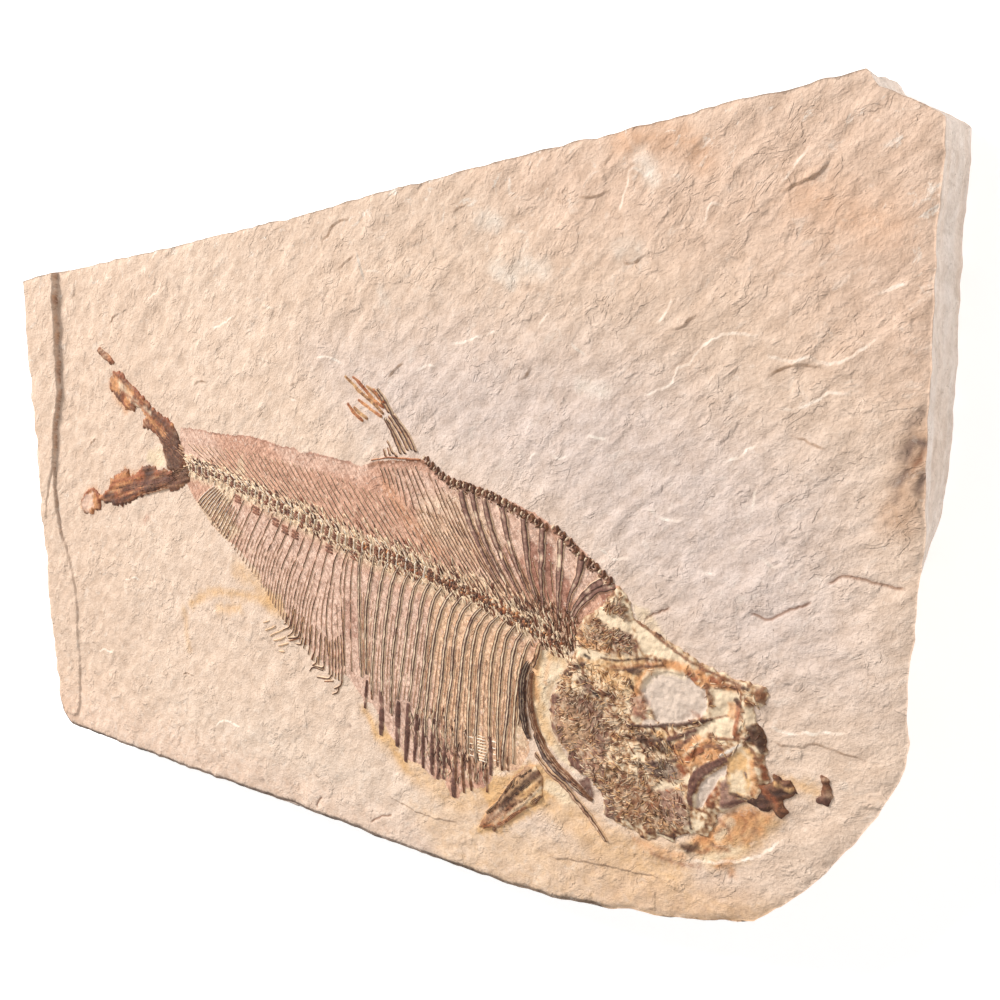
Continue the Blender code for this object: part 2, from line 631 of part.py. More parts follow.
def main():
    clear_scene()
    parts = new_collection("fossil_fish_slab")
    cutters = new_collection("cutters")
    stone = new_material("limestone", (0.72, 0.6, 0.48), 0.85)
    new_material("fossil_bone", (0.16, 0.1, 0.075), 0.7)
    make_slab(stone, parts)
    floor = cube("below_the_bones", (-180, -100, -5), (180, 100, BONE_BASE), cutters)
    make_backbone(floor, parts)
    make_head(floor, cutters, parts)
    make_plain_plate("jaw_tip", JAW_TIP, 2.2, 1.5, 0.5, 2.2, floor, parts)
    make_plain_plate("jaw_fragment", JAW_CHIP, 1.5, 1.0, 0.3, 3.2, floor, parts)
    make_plain_plate("tail_tip", TAIL_TIP, 2.2, 0.5, 0.15, 1.2, floor, parts)
    make_back_plates("rear_back_plates", SCUTES_REAR, BLADES_REAR, 18, floor, parts)
    make_back_plates("front_back_plates", SCUTES_FRONT, BLADES_FRONT, 8, floor, parts)
    make_dorsal_fin(floor, parts)
    make_anal_fin(floor, parts)
    make_pectoral_fin(floor, parts)
    make_shoulder(floor, parts)
    make_tail(floor, parts)


main()
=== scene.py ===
"""The looks of the fossil fish slab: a deep-bodied fish pressed flat in a slab of pale layered limestone.

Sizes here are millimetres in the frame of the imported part, turned into metres as each mesh is made.
The fish's own outlines are given from its origin on its backbone, FISH_AT on the slab.
"""

import math

import bpy
import numpy as np
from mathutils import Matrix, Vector, geometry


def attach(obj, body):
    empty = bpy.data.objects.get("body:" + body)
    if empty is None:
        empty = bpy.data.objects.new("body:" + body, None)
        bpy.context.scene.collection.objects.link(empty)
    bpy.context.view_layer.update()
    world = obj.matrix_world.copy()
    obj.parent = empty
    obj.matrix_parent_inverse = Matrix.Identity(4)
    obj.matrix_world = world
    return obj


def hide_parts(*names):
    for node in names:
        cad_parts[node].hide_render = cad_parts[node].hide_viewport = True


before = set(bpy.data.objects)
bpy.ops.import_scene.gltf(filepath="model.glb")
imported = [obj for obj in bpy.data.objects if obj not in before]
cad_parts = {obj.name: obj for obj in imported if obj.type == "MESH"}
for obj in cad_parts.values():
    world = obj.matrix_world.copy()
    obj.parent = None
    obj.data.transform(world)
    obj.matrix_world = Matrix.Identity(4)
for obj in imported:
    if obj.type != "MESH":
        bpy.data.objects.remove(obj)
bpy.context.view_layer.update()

MM = 0.001

# ---------------------------------------------------------------- sizes of the slab and its layers
FACE = 16.0  # height of the split face
FISH_AT = np.array((2.5, 4.2))  # the fish's origin on the slab
REMNANT_TOP_RISE = 1.8  # the next layer left on the tail-side edge, at its upper end
REMNANT_END_RISE = 1.3
REMNANT_RISER = 0.8  # how far its broken edge runs out
SKIN_RISE = 0.9  # the thinner layer below it
SKIN_LOW_RISE = 0.5
BUMP = 0.45  # how far the face rolls away from the fish
EDGE_WEAR = 0.5  # how far the rim is worn down
FLAKE_LIFT = 0.75
FLAKE_REACH = 12
CRACK_DEPTH = 0.25
CRACK_SEED = 80
PIT_DEPTH = 0.35
UNDERCUT = 6.0  # how far the wall slants in below the broken corner, fading from near to far
BROKEN_CORNER = (141, -36)
BROKEN_NEAR = 18
BROKEN_FAR = 58
WALL_LEVELS = ((0, -1.3), (1.1, -0.3), (6.5, -0.2), (11, -0.5), (14.4, -0.1), (16, 0))  # height, bulge

# ---------------------------------------------------------------- fineness of the meshes
RIM_STEP = 1.3
FACE_STEP = 1.14
FISH_STEP = 0.49
WALL_STEP = 0.95
RIM_RINGS = (0.35, 0.75, 1.2)  # rows of points inside the slab's rim
SUNK = 0.25  # how far every bone's rim is set below the face
GRAIN = math.radians(32)  # the way the stone's flakes run
SCALE_ROWS = math.radians(118)

# ---------------------------------------------------------------- colours, as a screen shows them
PALETTE = {
    "stone": (240, 213, 191),
    "warm_stone": (240, 207, 184),
    "cool_stone": (231, 211, 200),
    "wall": (248, 234, 224),
    "chalk": (252, 241, 228),
    "film": (224, 176, 150),
    "film_low": (240, 205, 184),
    "film_front": (247, 207, 170),
    "pink": (240, 205, 184),
    "cream": (250, 225, 191),
    "ochre": (238, 190, 132),
    "orange": (230, 164, 108),
    "rust": (162, 90, 54),
    "reddish": (172, 118, 98),
    "brown": (142, 92, 62),
    "plum": (116, 76, 64),
    "mauve": (170, 130, 114),
    "dark": (88, 56, 42),
    "black": (52, 32, 24),
    "grey": (128, 106, 98),
    "lilac": (230, 208, 190),
    "shade": (202, 164, 134),
    "russet": (154, 96, 70),
    "tan": (206, 166, 126),
    "pit": (128, 104, 92),
}
# Each bone's colours from its darkest parts to its palest
TINTS = {
    "grey": ("black", "dark", "grey", "cream"),
    "brown": ("dark", "brown", "shade", "cream"),
    "russet": ("dark", "russet", "film", "cream"),
    "mauve": ("dark", "plum", "mauve", "cream"),
    "ochre": ("dark", "brown", "ochre", "cream"),
    "rust": ("brown", "rust", "orange", "cream"),
    "cheek": ("dark", "brown", "tan", "cream"),
    "dark": ("black", "dark", "plum", "shade"),
    "tan": ("shade", "tan", "cream", "cream"),
    "cream": ("shade", "cream", "cream", "chalk"),
}

SLAB_OUTLINE = (
    (-129.1, 78.1), (-109.5, 78.7), (-60, 78.2), (2.5, 78.4), (62.5, 79.6), (132.5, 79.7),
    (141.5, 80), (142.8, 77), (147.5, 74.2), (152.5, 70.6), (152.4, 65), (150.8, 54), (149.8, 40),
    (148.3, 24), (147.4, 8.5), (146.2, -2.6), (144.3, -15.8), (143.2, -25), (143.5, -30), (142.3, -35),
    (137.5, -43.8), (132.5, -50.8), (127.5, -56.8), (122.5, -62.3), (117, -67), (112.5, -71.3),
    (103, -73.8), (92.5, -75.8), (82.5, -77.2), (72.5, -78.9), (62.5, -79.8), (42.5, -80),
    (20, -79.3), (-18, -77.6), (-55, -76.4), (-98, -75.1), (-147.5, -73.2), (-151, -70.3),
    (-152.5, -63.8), (-151.5, -54), (-150, -41), (-147.5, -22), (-144.8, -6), (-143.2, 1.5),
    (-141.1, 12), (-138.2, 29), (-134.9, 47), (-131.9, 61),
)  # fmt: skip
REMNANT = (
    (-109.4, 82), (-110.5, 74.2), (-112.5, 69), (-113.5, 64), (-115.5, 54), (-117, 47), (-118, 42),
    (-120, 39), (-124.5, 29), (-126.5, 24), (-129, 18), (-133.5, 12), (-136.5, 7), (-139, 1), (-146, -2),
    (-170, -2), (-170, 82),
)  # fmt: skip
SKIN = (
    (-129, 18), (-130.5, 12), (-131.5, 4), (-132, -2), (-130, -10), (-128.5, -20), (-129, -29),
    (-131, -36), (-133, -46), (-136, -56), (-138, -64), (-140.5, -68), (-144, -69.5), (-156, -70),
    (-170, -70), (-170, 18),
)  # fmt: skip
FISH_FIELD = (
    (-125, 0), (-108, -8), (-60, -8), (-38, -42), (0, -56), (30, -70), (42, -78), (100, -70), (134, -52),
    (134, -38), (120, -24), (92, -10), (72, 6), (40, 22), (24, 40), (6, 40), (8, 20), (-55, 30),
    (-92, 56), (-102, 52), (-88, 20), (-124, 10),
)  # fmt: skip

# ---------------------------------------------------------------- thin flakes on the face
# The rise of a flake's left side over its right, seen along its edge; the right side faces the light.
FLAKES = (
    (-0.4, (
        (93, 26.5), (97, 27.8), (100, 29), (102, 31.5), (104.5, 32.5), (107.5, 35.5), (113, 37),
        (118, 36),
    )),
    (-0.4, ((119, 33), (123, 31.5), (127, 31.8), (131.5, 30.5), (136, 32.5), (139.5, 34.5))),
    (0.35, ((118.5, 28), (121, 30), (126, 30.6), (130, 30))),
    (-0.35, ((120.5, 23.5), (124, 23.3), (128, 24.5), (130, 25.8), (135, 25.5))),
    (-0.3, ((138, 41), (142, 42), (145, 43.4))),
    (-0.35, ((97.5, 39.5), (100, 42), (102, 45))),
    (0.45, ((100, 38.5), (103, 39), (107, 41.2))),
    (-0.35, ((109.5, 14), (113, 15.5), (117.5, 18))),
    (-0.3, ((114.5, 5), (115.5, 8.5), (117.5, 11.8))),
    (-0.35, ((79.5, 19), (82, 19.6), (86, 18))),
    (-0.3, ((71, 16.5), (73, 15.2), (76.5, 15.8))),
    (-0.3, ((92, 6.2), (95, 4), (98, 3), (101.5, 3.8))),
    (-0.4, ((80.5, -2.4), (84, -4.8), (89, -4.6))),
    (-0.35, ((115, -2.6), (118, -4.4), (121.5, -3.8))),
    (-0.3, ((102.5, -6.2), (105, -6.8), (107.5, -6.4))),
    (-0.3, ((109, -2), (113.5, -0.5))),
    (-0.35, ((65, 13.6), (66.5, 16), (69, 15.4))),
    (-0.3, ((78, 38.8), (80, 36.6), (82.5, 35))),
    (-0.3, ((56, 41), (59, 41.6), (62, 41.4))),
    (-0.3, ((35, 35), (38, 36), (43, 36.2))),
    (-0.25, ((46, 40.6), (50, 40.4), (57, 41.6))),
    (-0.3, ((2, 40.4), (7, 40.2), (12.5, 38))),
    (-0.3, ((-11, 31.8), (-6, 30))),
    (-0.3, ((-16, 55), (-10.5, 53))),
    (-0.3, ((22, 59), (28.5, 57.6))),
    (-0.45, ((122, 59.6), (126, 63), (129.5, 66.6))),
    (0.45, ((122.5, 59.6), (127, 60.4), (130.5, 61.5), (133, 64))),
    (-0.4, ((91.5, 60.5), (94, 65.6), (95.5, 68.2), (99.5, 66))),
    (0.4, ((82, 65.2), (87, 64.8), (91, 65.8))),
    (0.35, ((64, 31), (67, 32.6), (69, 35))),
    (0.4, ((90.5, 52.5), (94, 51.5), (98, 53))),
    (0.35, ((122, 19), (125, 17.8), (130, 16))),
    (0.3, ((8, 66.4), (11, 68), (15, 70.4), (20.5, 71))),
    (0.3, ((13, 60), (17, 61.4), (21, 63))),
    (-0.3, ((20.6, 64), (21.8, 60), (22.4, 55.6))),
    (0.3, ((26, 33.4), (29, 36), (33, 38))),
    (0.35, ((-10, 35.4), (-8, 34.4), (-5, 35))),
    (0.3, ((50, 66), (52, 67.6), (55, 68.2))),
    (-0.35, ((66, 61.4), (70.5, 60))),
    (-0.35, ((70.5, 40.6), (72, 43), (75, 44.6))),
    (0.4, ((88, 69.6), (90, 70.4), (92, 72))),
    (-0.35, ((108.5, 56), (111, 59.6), (113.5, 58.6))),
    (-0.3, ((-38, 51), (-32, 51.6), (-26, 54))),
    (-0.35, ((-66, 61), (-60, 63.4), (-57, 66))),
    (0.35, ((-88, 56), (-84, 58.6), (-80, 59))),
    (0.35, ((-50, 36), (-46, 37.4), (-42, 37))),
    (-0.35, ((-100, -22), (-94, -20.6), (-90, -21.6))),
    (0.35, ((-76, -50), (-72, -48.6), (-68, -49.4))),
    (-0.35, ((-62, -64), (-56, -60.8), (-48, -62))),
    (0.3, ((-110, 20), (-106, 22.4), (-103, 22))),
    (-0.3, ((-124, -48), (-118, -46.4), (-112, -47))),
    (0.35, ((60, -74), (74, -72.4), (90, -71.4))),
    (0.35, ((10, -70), (22, -72.6), (34, -72))),
    (-0.3, ((96, -66), (108, -63), (118, -56))),
    (-0.35, ((115.2, -34.6), (119, -35.4), (125, -34.4), (131, -33.6))),
    (0.3, ((115.4, -37.4), (121, -37.9), (125, -36.6), (134, -38.2))),
)  # fmt: skip
CRACKS = (
    (0.12, ((113, -13.5), (117, -14.4), (120, -12.8), (125, -10.5))),
    (0.1, ((128, -7.5), (130, -5.8), (133, -5.6), (137, -6.6), (141.5, -7))),
    (0.08, ((90, -17), (93, -15.4), (96.5, -14))),
    (0.1, ((-19, -80), (-17.6, -77.4), (-16, -76))),
    (0.1, ((2, -79.4), (6, -77), (11, -75))),
)  # fmt: skip
PITS = (
    (-42, -76.5, 0.8), (-1.5, -54, 0.7), (27.7, 27, 0.6), (7.5, 54, 0.5), (69, 49.8, 0.4), (-50, 63, 0.7),
    (118, 19, 0.5), (-96, -40, 0.5), (-60, -44, 0.4), (52, 60, 0.4), (111.6, -56.3, 0.5), (102, -61.3, 0.5),
)  # fmt: skip

# ---------------------------------------------------------------- the fish, seen from above its face
FILM = (
    (-60, 17), (-59.5, 22), (-58, 25), (-50, 24.3), (-45, 23.5), (-37, 22.5), (-28, 22), (-20, 20.5),
    (-15, 19), (-9.6, 18.6), (-8, 17.2), (-5, 17.5), (0, 16.8), (5, 15.8), (10, 15), (14, 13.6), (17, 14.6),
    (20, 15), (35, 15.2), (38, 13.5), (42, 11), (50, 9.3), (60, 6), (66, 3.5), (69, 1.5), (75, -2),
    (82, -7.8), (84.5, -10.5), (87, -15), (82, -22), (72, -25), (64, -26), (59.5, -30), (58, -38),
    (58.5, -46), (58, -50), (54, -55), (50, -56), (47, -57.5), (45, -60), (43, -61.5), (37, -62.5),
    (34.5, -66), (32, -65.5), (31, -62), (27, -62), (23, -59.5), (19, -59), (17, -56.5), (13, -53),
    (11.5, -50), (8, -46), (5.5, -46.5), (4, -44), (0, -40), (-4, -40), (-8, -38), (-13, -35), (-16, -31),
    (-20, -28), (-22, -25), (-22.5, -20.5), (-26, -20), (-30, -18.5), (-31, -14.5), (-35, -12), (-40, -8),
    (-44, -6.5), (-48, -4), (-52, 0), (-55, 3), (-58.5, 8), (-60, 11),
)  # fmt: skip
BACKBONE = (
    (70, -24.5), (62, -21), (50, -16.5), (35, -12), (20, -7.8), (5, -4.5), (-5, -1), (-15, 2),
    (-24, 5.2), (-35, 8.7), (-47, 12), (-58, 14),
)  # fmt: skip
LOWER_BLOCKS = ((8, -8.4), (-1, -7), (-13.7, -4), (-17.5, -2.8), (-21, -1), (-28.7, 2), (-36, 5))
RIBS = (
    ((12, -5.5), (9.5, -11), (8, -20), (6.4, -32), (5.6, -40)),
    ((15.5, -7.6), (11.8, -17), (10, -23), (8.8, -30), (7.6, -39)),
    ((19.5, -9), (16.4, -15), (13, -25), (9.7, -38), (8.7, -44)),
    ((23.5, -10), (20.5, -14), (18.2, -20), (15.6, -28), (12.9, -40), (12, -44)),
    ((27, -11), (24, -15), (21.4, -22), (18, -32), (15.8, -42), (15, -48)),
    ((30.5, -12), (27.5, -15.5), (24.6, -23), (21, -34), (17.8, -44)),
    ((33.5, -13), (30.6, -16.6), (27.4, -25), (24.6, -34), (21.6, -44)),
    ((37, -14), (33.6, -17.6), (30.6, -25), (27.5, -36), (23.8, -47)),
    ((40, -15), (36.6, -18.4), (33.2, -25), (30.3, -34), (27, -46), (26, -52)),
    ((42.5, -16), (39.2, -19.5), (36.4, -26), (33.6, -36), (30.5, -47), (29.6, -54)),
    ((45.5, -16.8), (42, -20), (39, -26), (36.6, -36), (33.6, -46), (32.4, -54)),
    ((48.5, -17.8), (45, -21), (42, -27), (39.7, -35), (37, -46), (35.8, -53)),
    ((50.5, -18.6), (47, -22), (44.6, -27), (42.6, -35), (40.5, -46), (39.4, -54)),
    ((53, -19.4), (49.6, -22.4), (47, -28), (45.2, -35), (43.6, -43), (42, -52), (41.6, -56)),
    ((55, -20.2), (52.6, -23), (50, -29), (48.4, -36), (47.2, -44), (46.4, -50)),
    ((57.5, -21), (54.6, -24.5), (52.4, -31), (50.6, -39), (49.4, -46), (48.6, -54)),
    ((59.5, -22.4), (56.8, -26), (54.6, -33), (53, -41), (50.8, -49), (49.6, -55.5)),
    ((61.2, -24), (59, -27.6), (57, -33), (55.6, -38), (54, -46), (53, -54)),
    ((60.6, -29), (57.4, -36), (56, -42), (55.2, -44.5)),
)  # fmt: skip
RIB_ENDS = (
    (0.65, ((7.6, -40), (6.5, -44), (5.4, -48.2))), (1.2, ((12, -42), (11.5, -48), (10.2, -54.4))),
    (0.4, ((9, -42), (8.4, -45.4))), (0.45, ((15.6, -44), (15, -48.6))),
    (1.25, ((18, -44), (16.6, -51), (15.6, -56.5))), (1.15, ((21.4, -44), (19.8, -52), (18, -60))),
    (0.75, ((24, -46), (22.6, -53), (21, -59.4))), (0.7, ((26.4, -47), (24.8, -54), (24, -60.4))),
    (0.8, ((28.4, -50), (27.6, -56), (26.8, -61.6))), (0.75, ((30.4, -52), (29.4, -58), (28.4, -62.4))),
    (0.7, ((32.4, -52), (31.4, -57), (30.6, -62))), (1.0, ((34.4, -58), (33.8, -62), (33.2, -66))),
    (0.5, ((35.6, -52), (35, -57), (34.4, -62))), (0.5, ((37.6, -54), (37, -60), (36.8, -64.2))),
    (0.5, ((39.6, -54), (39.4, -59), (39.2, -63.2))), (0.45, ((41.4, -54), (41, -58), (40.8, -60.6))),
    (0.45, ((44.8, -56), (44.4, -59), (44, -62.6))), (0.7, ((46.8, -48), (46.4, -53), (45.8, -58))),
    (0.4, ((48.6, -50), (48, -55.4))), (0.45, ((50, -50), (49.4, -56.2))), (0.35, ((51.6, -52), (51, -56))),
)  # fmt: skip
FAN_FOOT = ((60, -18), (64, -14), (70, -16), (75, -18), (74, -25), (68, -26), (62, -23))
RIB_FOOT = ((20, -47), (30, -44), (40, -46), (46, -50), (44, -60), (38, -62), (30, -61), (22, -56))
# Rows of slender bones: patterns at their places in the row, each from its root
SPINES = (
    (0, ((66, -20), (61.6, -11), (58.6, -4))),
    (7, ((53, -16), (46, -6), (41, 2.5))),
    (14, ((40, -12), (34, -3), (29.6, 4.6))),
    (20, ((22.6, -5), (17.5, 2), (12, 9.4))),
    (25, ((7, -1.6), (2, 5.4), (-3, 13.4))),
    (33, ((-15, 4.6), (-21.5, 11), (-27, 18))),
    (42, ((-44, 12.6), (-50, 16.6), (-56, 20.6))),
)
FAN = (
    (0, ((36, 12.6), (41, 1), (49, -11))),
    (6, ((45.4, 4), (51, -7), (58.6, -17))),
    (13, ((60, -5), (63.6, -13), (67.4, -20))),
    (17, ((68.6, -6), (68.4, -13), (69.2, -20))),
)
UNDER_FIN = (
    (0, ((20.4, 13.8), (21.4, 11.6), (21.8, 9.4))),
    (4, ((26, 14), (27.4, 9), (28, 4))),
    (8, ((32, 14), (35, 7.6), (38, 1))),
)
LOWER_LINES = (
    (0, ((6.4, -6.6), (3.5, -11), (1.6, -16), (0.8, -26), (-0.4, -38))),
    (3, ((4.4, -5.6), (0.6, -10), (-2, -16.4), (-5, -24), (-6.4, -36))),
    (6, ((0.6, -4.6), (-3, -10), (-7, -17.6), (-11, -25), (-13.6, -34))),
    (15, ((-8.4, -2), (-12.6, -8), (-18, -15), (-21.4, -22), (-23.4, -28))),
    (24, ((-17.4, 0.6), (-21.4, -4), (-26.4, -9.6), (-29.4, -15), (-31, -18.6))),
    (36, ((-33, 5), (-36, 1.8), (-39.6, -2), (-42.6, -5), (-44.4, -6.6))),
    (42, ((-41, 7.6), (-43.4, 5.4), (-46, 2), (-48.4, -1), (-49.8, -3))),
)
COMB = (
    (0, ((-54.9, 3.4), (-50.6, 6), (-45.6, 8.2))),
    (5, ((-50.6, -0.4), (-46.6, 3), (-42.4, 6))),
    (12, ((-43.6, -6.4), (-40, -2.6), (-36.6, 1.4))),
)
FIN_RAYS = (
    (0, ((-0.4, -29), (-1, -36), (-2.2, -42.6))),
    (5, ((-5, -31), (-6, -36), (-7, -41))),
    (9, ((-10, -28), (-11.6, -33), (-13.4, -37.6))),
    (16, ((-19, -23), (-20.4, -26), (-22, -28.6))),
)
FIN_TIPS = (
    (0.45, "brown", ((-2, -41.4), (-3, -43), (-5.8, -44.4))),
    (0.35, "brown", ((-3.4, -43), (-4.4, -45), (-6.8, -46))),
    (0.42, "brown", ((-5.8, -40.4), (-7.4, -41.8), (-12.2, -41.8))),
    (0.3, "rust", ((-5, -42), (-9.4, -42.8))),
    (0.42, "brown", ((-7.8, -37), (-9, -39), (-13.6, -38.8))),
    (0.4, "brown", ((-10.6, -36), (-11.4, -38), (-13.4, -39))),
    (0.4, "brown", ((-9, -39.8), (-12.6, -39.4), (-14.8, -40.8))),
    (0.36, "rust", ((-12, -35.4), (-13.4, -37.6))),
    (0.5, "brown", ((-16.4, -29.8), (-17.8, -31.8), (-22, -32.4))),
    (0.4, "rust", ((-17, -31.9), (-21.8, -33.2))),
    (0.42, "brown", ((-15.6, -31.4), (-16.8, -33.6), (-19.4, -33.6))),
    (0.4, "rust", ((-14.2, -31.6), (-15, -33.8))),
    (0.45, "brown", ((-18.2, -28), (-19.6, -30.6), (-22.2, -32))),
    (0.42, "brown", ((-19.6, -27), (-20.6, -29.2), (-24, -30.4))),
    (0.42, "brown", ((-21.2, -25.2), (-21.6, -28), (-23.4, -28.8))),
    (0.3, "brown", ((-12.2, -32), (-13.6, -34.4))),
    (0.3, "tan", ((-32, -29.2), (-28.6, -28.2))),
    (0.34, "tan", ((-31.6, -31.2), (-29, -30.6), (-26.4, -29.4))),
    (0.34, "tan", ((-30, -32.8), (-26.4, -31.4), (-22.4, -29.8))),
    (0.4, "tan", ((-28.6, -33.8), (-25, -33), (-22.6, -32))),
    (0.4, "tan", ((-27, -35.2), (-24, -34.4), (-21.8, -33.8))), (0.34, "tan", ((-27, -36.6), (-24, -36.6))),
)  # fmt: skip
SHOULDER_BANDS = (
    (0.75, "cheek", ((64, -24.4), (62.8, -27), (61, -30.4))),
    (1.0, "grey", ((60.2, -29), (58.3, -33), (57.5, -38), (57.4, -43), (58.4, -47))),
    (0.85, "brown", (
        (60.9, -31), (59.8, -36), (59.8, -41), (61.2, -46), (64, -50.4), (68, -53.6), (74.2, -58),
    )),
    (0.7, "grey", ((60, -45), (61.6, -49), (64.6, -52.4), (69, -55.4), (72.6, -57.4))),
    (0.6, "brown", ((59.6, -49.6), (62.6, -53), (66.6, -55.6), (69.6, -58.4), (73, -61.6), (77.3, -66.4))),
)
PECTORAL = (
    (59.6, -52.6), (56.5, -53.6), (53, -56.6), (50.5, -60), (47.5, -63), (45, -66), (42.5, -68.4),
    (40.4, -71.6), (43.6, -70.6), (46.6, -70.4), (50, -67.6), (54, -64.6), (58, -62.4), (60.6, -59.6),
    (61, -55),
)  # fmt: skip
SCUTES_REAR = (
    (36, 15), (39, 12.6), (42, 10.6), (48, 8.9), (54, 7.2), (58, 5.6), (61.5, 3.9), (65, 2.4), (68, 0.8),
)  # fmt: skip
SCUTES_FRONT = ((70.8, 0.4), (73.4, -1.6), (76, -4.4), (80, -7), (83, -9.6))
BLADES_REAR = (
    ((45.4, 8.4), (46.6, 3), (49.4, -4), (54, -12)), ((48.6, 8), (49.6, 2), (51.6, -4), (56.4, -13)),
    ((52, 7), (53, 1), (55.4, -6), (59.4, -14)), ((56.8, 5.2), (57.4, 0), (58.8, -6), (62, -14)),
    ((62.4, 3), (62.4, -3), (62.6, -9), (64.4, -16)), ((67.2, 1), (66.4, -5), (65.6, -11), (65.6, -18)),
)  # fmt: skip
BLADES_FRONT = (
    ((71.8, -1.4), (71, -6), (70, -12), (69.4, -18)), ((76.8, -4.6), (75.4, -9), (73, -13), (71.6, -17)),
    ((84.4, -10.4), (80, -11.6), (76, -14.6), (73, -18)),
    ((81.6, -9.6), (77.6, -11.8), (74.4, -15), (72.4, -18)),
)  # fmt: skip
HEAD = (
    (72.5, -26), (69.6, -30.5), (67.4, -34), (65.4, -36), (64.8, -39.6), (65, -43), (66.6, -46),
    (68.6, -48), (68.6, -51), (72, -52.2), (74, -52.6), (76, -55), (77.4, -56.4), (76.4, -60.4),
    (80.4, -61.4), (84, -62.4), (86.6, -63.8), (90, -62.4), (93, -62.8), (95, -60.6), (98.6, -59.6),
    (101, -59.4), (102.8, -57.6), (103.4, -54.5), (106, -53), (109, -51), (112.8, -50), (115.2, -45),
    (114, -41), (115, -40), (114.9, -36.8), (113.2, -34.2), (112.8, -31.2), (115.6, -30.8), (115.4, -27),
    (109, -26.4), (102.5, -24.2), (96, -20.8), (91, -18.2), (88.4, -17.2), (87.4, -13.5), (85.2, -10.6),
    (83.4, -12), (80.6, -15), (76.5, -17.4), (73.8, -20.2), (73.5, -23.5),
)  # fmt: skip
JAW_TIP = (
    (110.2, -50.2), (111, -47.4), (112, -45), (113.4, -44.6), (114, -46), (115.4, -45.6), (116, -43.8),
    (117.6, -45), (119.2, -44.6), (120.6, -46.8), (118.8, -47.8), (117.4, -48.8), (118.4, -50.8),
    (117, -52.6), (115.4, -51), (113, -51.4),
)  # fmt: skip
JAW_CHIP = (
    (125, -42.2), (126.6, -42.8), (127, -46), (126, -48), (123.8, -47.6), (124.8, -46), (125.4, -44.6),
)  # fmt: skip
UPPER_LOBE = (
    (-58.6, 14.4), (-57.8, 17), (-59.4, 19.4), (-60.2, 24), (-63, 27), (-66, 28.4), (-70, 30.6),
    (-74, 34), (-78, 37), (-81, 39), (-85.5, 42.6), (-89, 42.4), (-91.4, 40), (-92, 37), (-88.6, 35),
    (-86.4, 33), (-85, 31), (-81, 30.6), (-77.5, 31.6), (-76, 29.6), (-74.6, 28.6), (-77, 27.6),
    (-76.8, 25.4), (-73, 24.8), (-70.4, 22.4), (-68.6, 20), (-68, 16), (-66.6, 12.8), (-62, 12.4),
)  # fmt: skip
LOWER_LOBE = (
    (-57.5, 13.4), (-62, 12.2), (-67, 13), (-71, 12.6), (-74, 13.8), (-78, 14.5), (-81, 13.5), (-84, 12),
    (-88, 11), (-88.5, 13.2), (-92, 12.6), (-95, 11.3), (-99, 10.3), (-101, 7.5), (-104, 5.5), (-107, 4.9),
    (-108, 6.4), (-110.5, 7.5), (-114, 6.5), (-118, 3.6), (-119.5, 0.4), (-117, -1.2), (-113, -1),
    (-110, 0), (-107.5, 0.8), (-106.6, 3.4), (-104.5, 2.6), (-101, 3), (-100, 1.8), (-95, 2), (-90, 2.8),
    (-85, 4.8), (-80, 5.8), (-74, 7), (-69, 7.8), (-66, 6.6), (-63, 7.4), (-57.5, 10),
)  # fmt: skip
TAIL_TIP = ((-87.5, 45.4), (-90, 47.6), (-94.6, 50.2), (-96.4, 49.2), (-93, 46.6), (-90, 44.9), (-88.4, 44.6))
FIN_RAY_TIPS = (
    ((24.4, 27.2), (21, 29.4), (17.6, 32.8), (14.4, 35.2)),
    ((24, 25.8), (20.4, 28.8), (16.2, 31.8), (12, 35.6)),
    ((23.4, 25.2), (20, 27), (17, 28.8), (15.6, 29.8)), ((18.4, 24.8), (16, 26.4), (13.8, 28.2)),
    ((16.8, 24.4), (14, 26.6), (11.8, 29.2)),
    ((24, 28), (21.8, 30.8), (18.8, 32.8)),
    ((24.8, 28), (23, 30), (21, 32)),
)  # fmt: skip
FIN_TRUNK = (
    ((28.2, 16.4), (26.4, 20.4), (24, 25.2)), ((29.6, 16.4), (27.6, 20), (24.6, 25)),
    ((30.6, 17.2), (28.6, 20.8), (25.4, 25.6)), ((31.8, 17.2), (29.6, 21.2), (26.2, 26.4)),
    ((33.2, 16.8), (31.4, 20.4), (27, 26)), ((27.4, 24.6), (25.2, 28.8), (22.4, 32)),
    ((25.8, 26), (24, 29), (21.6, 31.8)),
)  # fmt: skip
FIN_STUBS = (
    ((25.8, 16.4), (24.8, 18), (23.8, 20)),
    ((24.6, 16), (23.6, 18.4)),
    ((23, 15.8), (22.4, 18)),
    ((26.8, 15.8), (26, 17)),
)

